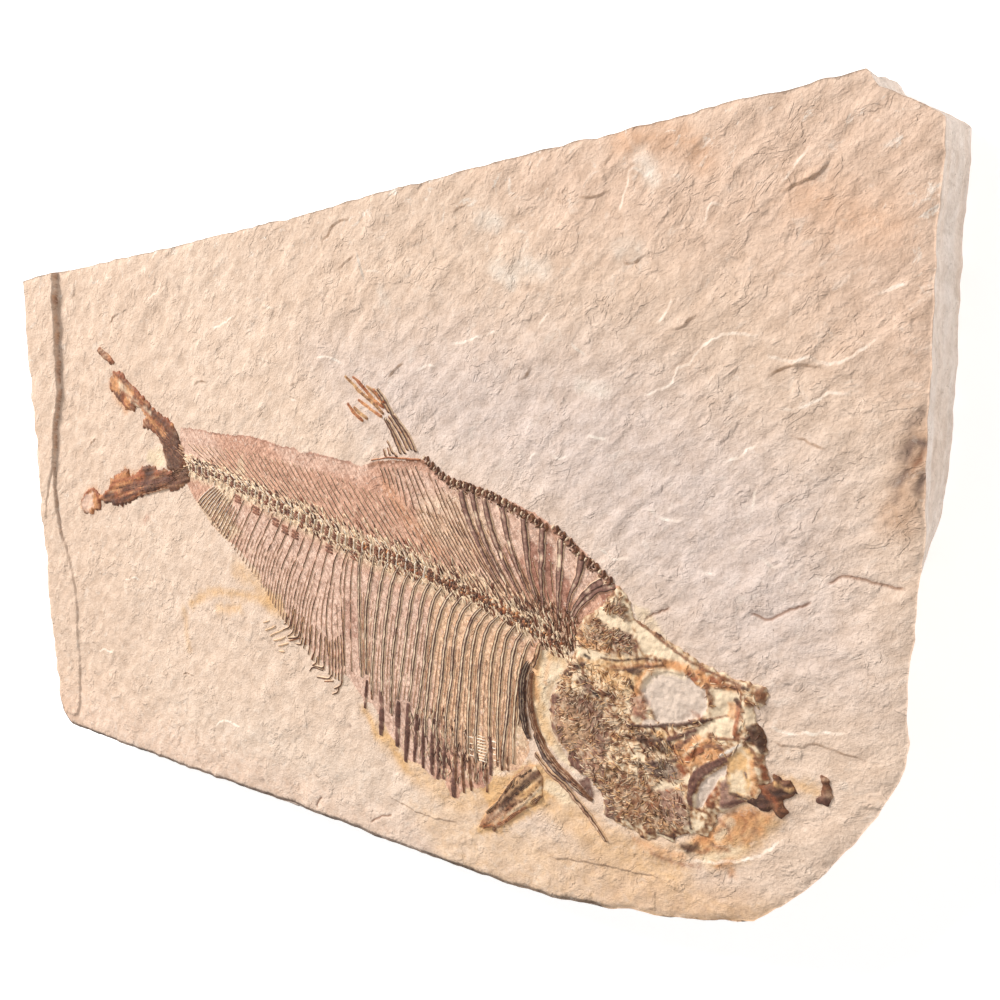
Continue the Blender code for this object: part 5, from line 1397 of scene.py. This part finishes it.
def make_head():
    piece = Piece()
    plate(piece, HEAD, 0.3, head_height, paint_head, seed=1.1, ragged=0.4)
    chance = np.random.default_rng(32)
    placed = shift(HEAD)
    for area, count, seed in ((CHEEK, 1500, 31), (SKULL_BACK, 380, 33), (SNOUT, 260, 34)):
        low, high = np.min(area, axis=0), np.max(area, axis=0)
        x, y = (chance.uniform(low, high, (count * 3, 2)) + FISH_AT).T
        x, y = np.column_stack([x, y])[inside_by(x, y, shift(area)) > 0.3][:count].T
        colours, rises = paint_head(x, y)
        deep = np.maximum(inside_by(x, y, placed), 0)
        base = ground(x, y) + head_height(x, y, deep) + rises * smooth(0, 0.8, deep)
        keep = rises > -0.05
        other = np.array([colour(name) for name in ("dark", "rust", "cream", "ochre", "mauve")])
        picked = other[chance.choice(5, len(x), p=(0.2, 0.1, 0.3, 0.28, 0.12))]
        colours = mixed(colours, picked, chance.uniform(0.2, 0.8, len(x)))[keep]
        x, y, base = x[keep], y[keep], base[keep]
        many = len(x)
        turn = noise(x, y, 9, 35) * 1.4 + chance.normal(0, 0.6, many)
        long, wide = chance.uniform(0.4, 1.5, many), chance.uniform(0.07, 0.14, many)
        rises = chance.uniform(0.08, 0.24, many)
        lumps(piece, x, y, long, wide, turn, rises, colours, base, seed, sides=5, sunk=0.3)
    return piece.make("skull_bones", bone_look())


def streaked(tints, tone, angle, strokes, seed):
    """A way of painting a plate: streaks along an angle between two tints, and strokes."""
    spread = 0.35

    def paint(x, y):
        shades = tone + spread * streaks(x, y, 0.9, seed, angle, 0.12)
        shades = shades + 0.3 * spread * noise(x, y, 0.8, seed + 1) + 0.6 * spread * noise(x, y, 4, seed + 2)
        shades = np.clip(shades, 0, 1)
        part = smooth(-0.4, 0.4, noise(x, y, 6, seed + 3))
        colours, rises = mixed(toned(shades, tints[0]), toned(shades, tints[1]), part), 0 * x
        brush(x, y, colours, rises, strokes, ragged=0.7)
        return colours, rises

    return paint


def sheet(thick, angle, seed):
    """A height for a thin plate with streaks along an angle."""

    def height(x, y, deep):
        rough = 0.3 * streaks(x, y, 0.9, seed, angle, 0.12) + 0.2 * noise(x, y, 1.1, seed + 1)
        return thick * (0.35 + 0.65 * smooth(0, 0.8, deep) + rough * smooth(0, 0.5, deep))

    return height


UPPER_STROKES = (
    ("dark", 0.75, 1.5, None, 0, (
        (-58, 13), (-57.6, 18), (-60, 25), (-66, 28), (-74, 34), (-74, 31), (-68, 20), (-66, 12.4),
    )),
    ("orange", 0.8, 0.8, None, 0, ((-84.4, 34), (-81, 33), (-78.6, 36.6), (-82, 38))),
    ("orange", 0.8, 0.8, None, 0, ((-91, 37), (-87, 36.4), (-84.6, 39), (-87, 41.4), (-90, 40.4))),
    ("cream", 0.6, 1.0, 0.8, 0, ((-86, 38.6), (-79, 33.4), (-72, 29.4))),
    ("orange", 0.7, 0.8, 1.0, 0, ((-76, 30), (-70, 26.8), (-66, 23.4))),
    ("rust", 0.8, 0.4, 0.5, 0.1, ((-62.6, 27), (-68, 29.8), (-74, 34), (-80, 38.6), (-86, 42.4))),
    ("brown", 0.8, 0.3, 0.4, 0.1, ((-91.6, 37), (-86, 32.4), (-80, 30.8))),
    ("brown", 0.7, 0.4, 0.5, 0.1, ((-76, 25.8), (-70.6, 22), (-68.4, 17))),
    ("rust", 0.7, 0.4, 0.4, 0.1, ((-84, 36), (-78, 33), (-72, 28.8), (-66, 24.6))),
)  # fmt: skip
LOWER_STROKES = (
    ("dark", 0.6, 1.2, None, 0, ((-57.6, 13.4), (-66, 12.8), (-68, 8), (-62, 7.6), (-57.6, 10))),
    ("orange", 0.6, 1.2, None, 0, ((-106, 5.6), (-98, 10.6), (-90, 12.6), (-84, 11.6), (-88, 9), (-98, 7))),
    ("rust", 0.8, 0.6, 0.7, 0.1, ((-103, 6.4), (-96, 9.4), (-88, 10.4), (-80, 11.8))),
    ("plum", 0.7, 0.6, 0.8, 0, ((-91, 7.4), (-82, 8.8), (-72, 10), (-66, 10.4))),
    ("dark", 0.8, 0.4, 0.5, 0.1, ((-100, 3), (-92, 4.2), (-84, 6.4), (-74, 8.4))),
    ("dark", 0.8, 0.3, 0.4, 0.1, ((-106, 3), (-96, 2.4), (-88, 3.4), (-82, 5.6), (-74, 7.2))),
    ("orange", 0.75, 1.0, None, 0, (
        (-119, 0.4), (-116, 3.4), (-112, 6), (-108, 5.6), (-108, 1.4), (-113, 0),
    )),
    ("pink", 0.8, 0.8, None, 0, ((-119.6, 0), (-116, 4.4), (-110.6, 6), (-111, 1), (-115, -0.6))),
    ("rust", 0.85, 0.4, 0.5, 0.1, ((-108.8, 6.8), (-108, 4.6), (-107, 1.2))),
    ("rust", 0.8, 0.3, 0.4, 0.1, ((-118.6, 3), (-114, 6), (-110.4, 7.2))),
)  # fmt: skip


TAIL_LANES = ((9.6, 8.2, 5.4), (8.9, 7.0, 4.2), (10.6, 9.2, 7.2), (7.9, 5.6, 3.2), (11.6, 10.4, 8.6))


def make_tail():
    piece = Piece()
    for outline, degrees, tone, strokes, seed, rim_seed in (
        (UPPER_LOBE, -40, 0.36, UPPER_STROKES, 70, 2.1),
        (LOWER_LOBE, 8, 0.28, LOWER_STROKES, 74, 3.1),
    ):
        angle = math.radians(degrees)
        paint = streaked(("rust", "brown"), tone, angle, strokes, seed)
        plate(piece, outline, 0.32, sheet(0.5, angle, seed + 2), paint, rim_seed, 0.6)
    for root, tip, root_step, tip_step, bend, half, tint, seed in (
        ((-57, 14), (-68, 11.2), (0, -0.42), (0, -0.5), (0, 0.3), 0.24, "brown", 80),
        ((-58, 15), (-68, 19.4), (0, 0.8), (-1.2, 2.1), (-0.6, 0.4), 0.26, "rust", 85),
    ):
        for k in range(6):
            start = np.array(root) + np.array(root_step) * k
            end = np.array(tip) + np.array(tip_step) * k
            points = start, (start + end) / 2 + bend, end
            strip(piece, points, (0.18, half, 0.2), 0.65, "line", tint, seed=seed + k)
    for k, lane in enumerate(TAIL_LANES):
        ends = (-67, lane[0]), (-82, lane[1]), (-99 + k, lane[2])
        strip(piece, ends, (0.2, 0.28, 0.16), 0.62, "line", ("brown", "rust")[k % 2], seed=92 + k)
    return piece.make("tail_fin_rays", bone_look())


def make_back_plates(name, scutes, blades, seed):
    piece = Piece()
    line = smooth_line(scutes, 1.9)
    along = np.gradient(line, axis=0)
    for k, (spot, way) in enumerate(zip(line, along)):
        way = way / np.hypot(*way)
        up = np.array((-way[1], way[0])) * (1 if way[0] > 0 else -1)
        ends = spot - 1.0 * up - 0.3 * way, spot + 0.5 * way, spot + 1.1 * up - 0.4 * way
        strip(piece, ends, (0.3, 0.42, 0.28), 0.75, "bare", "brown", step=0.35, seed=seed + k, gaps=0)
        inner = spot - 0.85 * way
        ends = inner - 0.6 * up, inner + 0.7 * up
        strip(piece, ends, (0.3, 0.42, 0.3), 0.6, "pale", "mauve", step=0.35, seed=seed + k + 0.5, gaps=0)
    for k, blade in enumerate(blades):
        strip(piece, blade, (1.05, 0.9, 0.6, 0.34), 0.5, "blade", "mauve", step=0.4, seed=seed + 50 + k)
    area = (*shift(scutes, (0, 1.0)), *shift(scutes[::-1], (0, -1.6)))
    crumbs(piece, area, 22 * len(scutes), 0.45, 0.2, 0.5, "brown", seed, (0, 0.2, 0.5, 0.9))
    return piece.make(name, bone_look())


def make_dorsal_fin():
    piece = Piece()
    foot = (17.6, 15.2), (24, 15.8), (29, 15.5), (34.4, 15.2)
    strip(piece, foot, (0.14, 0.24, 0.3), 0.45, "bare", "rust", seed=90)
    for rays, widths, rise, section, tints, seed, pale, gaps in (
        (FIN_TRUNK, (0.46, 0.52, 0.46), 0.5, "line", ("russet", "mauve"), 91, 0, 0.2),
        (FIN_RAY_TIPS, (0.4, 0.56, 0.52, 0.34), 0.44, "bare", ("rust", "ochre"), 100, 0.28, 0.2),
        (FIN_STUBS, (0.5, 0.36), 0.42, "line", ("russet", "russet"), 110, 0, 0.5),
    ):
        for k, points in enumerate(rays):
            strip(piece, points, widths, rise, section, tints[k % 2], 0.4, seed + k, pale, gaps)
    return piece.make("dorsal_fin_rays", bone_look())


def make_anal_fin():
    piece = Piece()
    row(piece, FIN_RAYS, 14, (0.26, 0.36, 0.42, 0.3), 0.38, tint="russet", seed=120, step=0.6)
    for k, (half, tint, points) in enumerate(FIN_TIPS):
        widths = 0.8 * half, half, 0.6 * half
        strip(piece, points, widths, 0.36, "line", tint, step=0.4, seed=130 + k, gaps=0.2)
    for k in range(13):
        points = between(COMB, k)
        strip(piece, points, (0.5, 0.38, 0.28, 0.2), 0.36, "line", "russet", seed=140 + k)
        strip(piece, points + (0.5, 0.62), (0.22, 0.2, 0.12), 0.3, "pale", "cream", seed=155 + k)
    return piece.make("anal_fin_rays", bone_look())


PECTORAL_STROKES = (
    ("dark", 0.8, 0.6, 0.9, 0.1, ((59.6, -54.4), (56, -57.4), (52, -61), (48.6, -64.6))),
    ("tan", 0.6, 0.6, 0.8, 0, ((58, -54), (53, -58.2), (48, -63), (44, -67))),
    ("cream", 0.6, 0.4, 0.4, 0, ((60.8, -57.6), (55, -62.6), (49, -67.4), (44, -70.4))),
    ("orange", 0.6, 1.0, 0.7, 0, ((52, -66.6), (47, -69), (42, -71))),
)
PECTORAL_RAYS = (
    (0.5, "grey", ((60.4, -54.6), (57, -57.4), (53, -60.8), (49.6, -64.2), (47.4, -65.8))),
    (0.45, "grey", ((58.8, -53.6), (55.4, -56.2), (52.4, -59.4), (49.6, -62.6), (48.4, -65))),
    (0.4, "brown", ((55.4, -55.6), (52.4, -58), (49, -62), (46.4, -65.2), (44, -67.4))),
    (0.3, "tan", ((53.4, -56.4), (51.6, -60), (48, -63.4), (45, -65.8), (43, -67.6))),
    (0.36, "brown", ((60.6, -55.8), (58.4, -59), (55.6, -61.2), (52, -63.6), (49, -66))),
    (0.3, "cream", ((60.2, -57.8), (57.4, -60.6), (54, -63.4), (50.4, -66), (46, -68.6))),
    (0.5, "brown", ((60.4, -59.5), (58.6, -61), (56.8, -62.4))),
    (0.42, "rust", ((56, -63.2), (52.6, -65.4), (50, -67.4), (47, -69.4), (43.6, -70.6), (41.6, -71.6))),
    (0.4, "tan", ((53, -64), (48.6, -66.8), (44.8, -69), (42.6, -70.4))),
    (0.5, "brown", ((45.6, -70.2), (44.8, -71.8))),
)


def make_pectoral_fin():
    piece = Piece()
    angle = math.radians(42)
    paint = streaked(("ochre", "brown"), 0.5, angle, PECTORAL_STROKES, 150)
    plate(piece, PECTORAL, 0.32, sheet(0.45, angle, 151), paint, seed=7.1, ragged=0.15)
    for k, (half, tint, points) in enumerate(PECTORAL_RAYS):
        widths = 0.7 * half, half, half, 0.6 * half
        strip(piece, points, widths, 0.62, "ridged", tint, step=0.35, seed=152 + k, gaps=0.3)
    return piece.make("pectoral_fin_rays", bone_look())


def make_shoulder():
    piece = Piece()
    for k, (half, tint, points) in enumerate(SHOULDER_BANDS):
        section = "ridged" if k in (1, 2) else "blade"
        widths = 0.6 * half, half, half, half, 0.5 * half
        strip(piece, points, widths, 0.75, section, tint, step=0.35, seed=160 + k, gaps=0.2)
    return piece.make("shoulder_bones", bone_look())


JAW_STROKES = (
    ("dark", 0.6, 0.6, 0.7, 0.2, ((112, -50.6), (115, -47.6), (118, -46))),
    ("rust", 0.6, 0.5, 0.6, 0.1, ((113.4, -46.6), (116.6, -49.6))),
    ("ochre", 0.6, 0.4, 0.4, 0, ((116.4, -45.6), (119.4, -46.2))),
)


def small_plate(name, outline, tints, tone, strokes, seed):
    piece = Piece()
    angle = math.radians(15)
    paint = streaked(tints, tone, angle, strokes, seed)
    plate(piece, outline, 0.28, sheet(0.6, angle, seed), paint, seed, 0.3)
    return piece.make(name, bone_look())


# ---------------------------------------------------------------- materials
class Tree:
    """A material's nodes, added and linked call by call."""

    def __init__(self, name):
        self.material = bpy.data.materials.new(name)
        self.material.use_nodes = True
        self.nodes = self.material.node_tree.nodes
        self.links = self.material.node_tree.links
        self.shader = self.nodes["Principled BSDF"]
        self.place = self.node("ShaderNodeTexCoord").outputs["Object"]

    def node(self, kind, **settings):
        made = self.nodes.new(kind)
        for key, value in settings.items():
            setattr(made, key, value)
        return made

    def feed(self, socket, value):
        if isinstance(value, bpy.types.NodeSocket):
            self.links.new(value, socket)
        else:
            socket.default_value = value

    def attribute(self, name, output="Fac"):
        return self.node("ShaderNodeAttribute", attribute_name=name).outputs[output]

    def turned(self, angle, along):
        """Places seen with one direction drawn out."""
        made = self.node("ShaderNodeMapping", vector_type="TEXTURE")
        self.feed(made.inputs["Vector"], self.place)
        made.inputs["Rotation"].default_value = (0, 0, angle)
        made.inputs["Scale"].default_value = (1 / along, 1, 1)
        return made.outputs["Vector"]

    def noise(self, per_mm, detail=3.0, rough=0.55, warp=0.0, vector=None):
        made = self.node("ShaderNodeTexNoise")
        self.feed(made.inputs["Vector"], vector or self.place)
        made.inputs["Scale"].default_value = 1000 * per_mm
        made.inputs["Detail"].default_value = detail
        made.inputs["Roughness"].default_value = rough
        made.inputs["Distortion"].default_value = warp
        return made.outputs["Fac"]

    def cells(self, per_mm, vector, scatter):
        made = self.node("ShaderNodeTexVoronoi")
        self.links.new(vector, made.inputs["Vector"])
        made.inputs["Scale"].default_value = 1000 * per_mm
        made.inputs["Randomness"].default_value = scatter
        return made.outputs["Distance"]

    def math(self, operation, a, b):
        made = self.node("ShaderNodeMath", operation=operation)
        self.feed(made.inputs[0], a)
        self.feed(made.inputs[1], b)
        return made.outputs[0]

    def times(self, a, b):
        return self.math("MULTIPLY", a, b)

    def spread(self, value, low, high, to_low=0.0, to_high=1.0):
        made = self.node("ShaderNodeMapRange", interpolation_type="SMOOTHSTEP")
        keys = ("Value", "From Min", "From Max", "To Min", "To Max")
        for key, number in zip(keys, (value, low, high, to_low, to_high)):
            self.feed(made.inputs[key], number)
        return made.outputs["Result"]

    def mix(self, part, a, b, blend="MIX"):
        made = self.node("ShaderNodeMix", data_type="RGBA", blend_type=blend)
        given = {"Factor_Float": part, "A_Color": a, "B_Color": b}
        for socket in made.inputs:
            if socket.identifier in given:
                self.feed(socket, given[socket.identifier])
        return next(socket for socket in made.outputs if socket.identifier == "Result_Color")

    def scaled(self, part, base, low, high):
        """A colour times one tint at part 0 and another at part 1."""
        return self.mix(1.0, base, self.mix(part, (*low, 1), (*high, 1)), "MULTIPLY")

    def bump(self, height, size_mm, normal=None):
        made = self.node("ShaderNodeBump")
        made.inputs["Distance"].default_value = size_mm * MM
        made.inputs["Strength"].default_value = 1.0
        self.feed(made.inputs["Height"], height)
        if normal is not None:
            self.feed(made.inputs["Normal"], normal)
        return made.outputs["Normal"]

    def finish(self, base, roughness, normal):
        self.feed(self.shader.inputs["Base Color"], base)
        self.feed(self.shader.inputs["Roughness"], roughness)
        self.feed(self.shader.inputs["Normal"], normal)
        return self.material


def rgba(name):
    return (*colour(name), 1)


def film_colour(tree, paint):
    """Skin and scales: pale round spots in rows on a mottled darker ground."""
    rows = tree.turned(SCALE_ROWS, 0.75)
    mottle = tree.noise(0.9, 4, 0.65, 0.3)
    base = tree.scaled(tree.spread(mottle, 0.32, 0.66), paint, (0.7, 0.62, 0.58), (1.1, 1.1, 1.1))
    cells = tree.cells(0.8, rows, 0.45)
    size = tree.spread(tree.noise(0.3, 2), 0.35, 0.65, 0.26, 0.56)
    spot = tree.spread(cells, size, tree.times(size, 0.4), 0.0, 0.8)
    base = tree.mix(spot, base, rgba("pink"))
    dots = tree.spread(tree.cells(1.25, rows, 0.9), 0.22, 0.12, 0.0, 0.5)
    base = tree.mix(dots, base, rgba("chalk"))
    hatch = tree.noise(1.5, 2, 0.5, 0.0, tree.turned(SCALE_ROWS, 0.16))
    base = tree.scaled(tree.spread(hatch, 0.4, 0.6), base, (0.84, 0.8, 0.78), (1.05, 1.05, 1.05))
    return base, spot


def limestone():
    tree = Tree("limestone_detail")
    grain = tree.turned(GRAIN, 0.62)
    shape = tree.noise(0.42, 6, 0.6, 0.3, grain)
    grit = tree.noise(1.5, 4, 0.65, 0.3)
    patches = tree.noise(0.2, 4, 0.62, 0.5)
    paint = tree.attribute("paint", "Color")
    base = tree.scaled(tree.spread(shape, 0.34, 0.62), paint, (0.9, 0.875, 0.85), (1.03, 1.03, 1.03))
    base = tree.scaled(tree.spread(patches, 0.35, 0.65), base, (0.93, 0.915, 0.9), (1.02, 1.02, 1.02))
    base = tree.scaled(tree.spread(grit, 0.3, 0.6), base, (0.9, 0.88, 0.86), (1.02, 1.02, 1.02))
    chalky = tree.spread(tree.noise(0.4, 5, 0.72, 0.6, grain), 0.56, 0.68)
    amount = tree.math("ADD", tree.times(tree.attribute("chalk"), 0.5), 0.2)
    base = tree.mix(tree.times(chalky, amount), base, rgba("chalk"))
    speck = tree.spread(tree.noise(1.1, 2, 0.6), 0.7, 0.76, 0.0, 0.5)
    base = tree.mix(speck, base, rgba("pit"))
    edge = tree.attribute("film")
    uneven = tree.times(tree.math("SUBTRACT", tree.noise(0.9, 3, 0.6), 0.5), 1.6)
    edge = tree.math("ADD", edge, uneven)
    film = tree.spread(edge, -0.12, 0.12)
    skin, spot = film_colour(tree, tree.attribute("film_paint", "Color"))
    base = tree.mix(film, base, skin)
    soft = tree.noise(0.17, 2, 0.5, 0.4, tree.turned(GRAIN, 0.4))
    normal = tree.bump(tree.times(soft, tree.attribute("rough")), 0.95)
    normal = tree.bump(shape, 0.5, normal)
    layers = tree.noise(0.28, 3, 0.55, 0.5, grain)
    shown = tree.spread(tree.noise(0.16, 2, 0.5), 0.5, 0.6)
    normal = tree.bump(tree.times(tree.spread(layers, 0.475, 0.52), shown), 0.15, normal)
    normal = tree.bump(tree.times(tree.spread(layers, 0.585, 0.62), shown), 0.1, normal)
    normal = tree.bump(grit, 0.26, normal)
    normal = tree.bump(tree.times(spot, film), 0.12, normal)
    roughness = tree.spread(grit, 0.3, 0.7, 0.78, 0.92)
    return tree.finish(base, roughness, normal)


def bone_look():
    found = bpy.data.materials.get("bone_detail")
    if found:
        return found
    tree = Tree("bone_detail")
    paint = tree.attribute("paint", "Color")
    grain = tree.noise(1.7, 4, 0.7, 0.5)
    lightness = tree.node("ShaderNodeRGBToBW")
    tree.feed(lightness.inputs["Color"], paint)
    pale = tree.spread(lightness.outputs[0], 0.3, 0.6, 0.0, 0.75)
    grained = tree.scaled(tree.spread(grain, 0.34, 0.64), paint, (0.66, 0.62, 0.6), (1.14, 1.12, 1.1))
    base = tree.mix(pale, grained, paint)
    flecks = tree.spread(tree.noise(2.0, 3, 0.6, 0.3), 0.62, 0.7, 0.0, 0.25)
    base = tree.mix(flecks, base, rgba("ochre"))
    normal = tree.bump(tree.noise(1.2, 4, 0.7, 0.5), 0.22)
    roughness = tree.spread(grain, 0.3, 0.7, 0.6, 0.82)
    return tree.finish(base, roughness, normal)


# ---------------------------------------------------------------- floor, lights and camera
def plain_material(name, base, roughness, glow=0.0):
    tree = Tree(name)
    tree.shader.inputs["Base Color"].default_value = (*base, 1)
    tree.shader.inputs["Roughness"].default_value = roughness
    tree.shader.inputs["Emission Color"].default_value = (1, 1, 1, 1)
    tree.shader.inputs["Emission Strength"].default_value = glow
    return tree.material


def make_floor():
    half = 1.6
    mesh = bpy.data.meshes.new("floor")
    corners = [(-half, -half, 0), (half, -half, 0), (half, half, 0), (-half, half, 0)]
    mesh.from_pydata(corners, [], [(0, 1, 2, 3)])
    mesh.materials.append(plain_material("floor_white", (0.9, 0.9, 0.9), 0.9, 0.5))
    floor = added("floor", mesh)
    floor.location.z = -0.0002


def make_lights():
    world = bpy.data.worlds.new("studio")
    world.use_nodes = True
    background = world.node_tree.nodes["Background"]
    background.inputs["Color"].default_value = (1, 1, 1, 1)
    background.inputs["Strength"].default_value = 0.55
    bpy.context.scene.world = world
    softbox = bpy.data.lights.new("softbox", "AREA")
    softbox.size = 0.42
    softbox.energy = 27
    softbox.color = (1.0, 0.985, 0.96)
    item = added("softbox", softbox)
    place = Vector((-0.93, 0.93, 0.8))
    item.location = place
    item.rotation_euler = place.to_track_quat("Z", "Y").to_euler()
    bpy.context.scene.view_settings.view_transform = "Standard"


def make_camera():
    camera = bpy.data.cameras.new("camera")
    camera.sensor_width = 36
    camera.lens = 37.8
    camera.clip_start = 0.01
    item = added("camera", camera)
    item.location = Vector((202.63, 42.14, 185.8)) * MM
    item.rotation_euler = [math.radians(degrees) for degrees in (-12.56, 39.27, -7)]
    bpy.context.scene.camera = item


def place(piece, slot, node):
    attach(piece, "root")
    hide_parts(node)


def main():
    make_camera()
    make_lights()
    make_floor()
    place(make_slab(), "limestone", "slab")
    for node, make, *given in (
        ("backbone_and_ribs", make_backbone),
        ("skull", make_head),
        ("jaw_tip", small_plate, "jaw_tip_bones", JAW_TIP, ("dark", "cheek"), 0.28, JAW_STROKES, 4.1),
        ("jaw_fragment", small_plate, "jaw_fragment_bone", JAW_CHIP, ("dark", "brown"), 0.4, (), 5.1),
        ("tail_tip", small_plate, "tail_tip_ray", TAIL_TIP, ("rust", "brown"), 0.5, (), 6.1),
        ("rear_back_plates", make_back_plates, "rear_back_bones", SCUTES_REAR, BLADES_REAR, 170),
        ("front_back_plates", make_back_plates, "front_back_bones", SCUTES_FRONT, BLADES_FRONT, 190),
        ("dorsal_fin", make_dorsal_fin),
        ("anal_fin", make_anal_fin),
        ("pectoral_fin", make_pectoral_fin),
        ("shoulder_girdle", make_shoulder),
        ("tail_fin", make_tail),
    ):
        place(make(*given), "fossil_bone", node)


main()
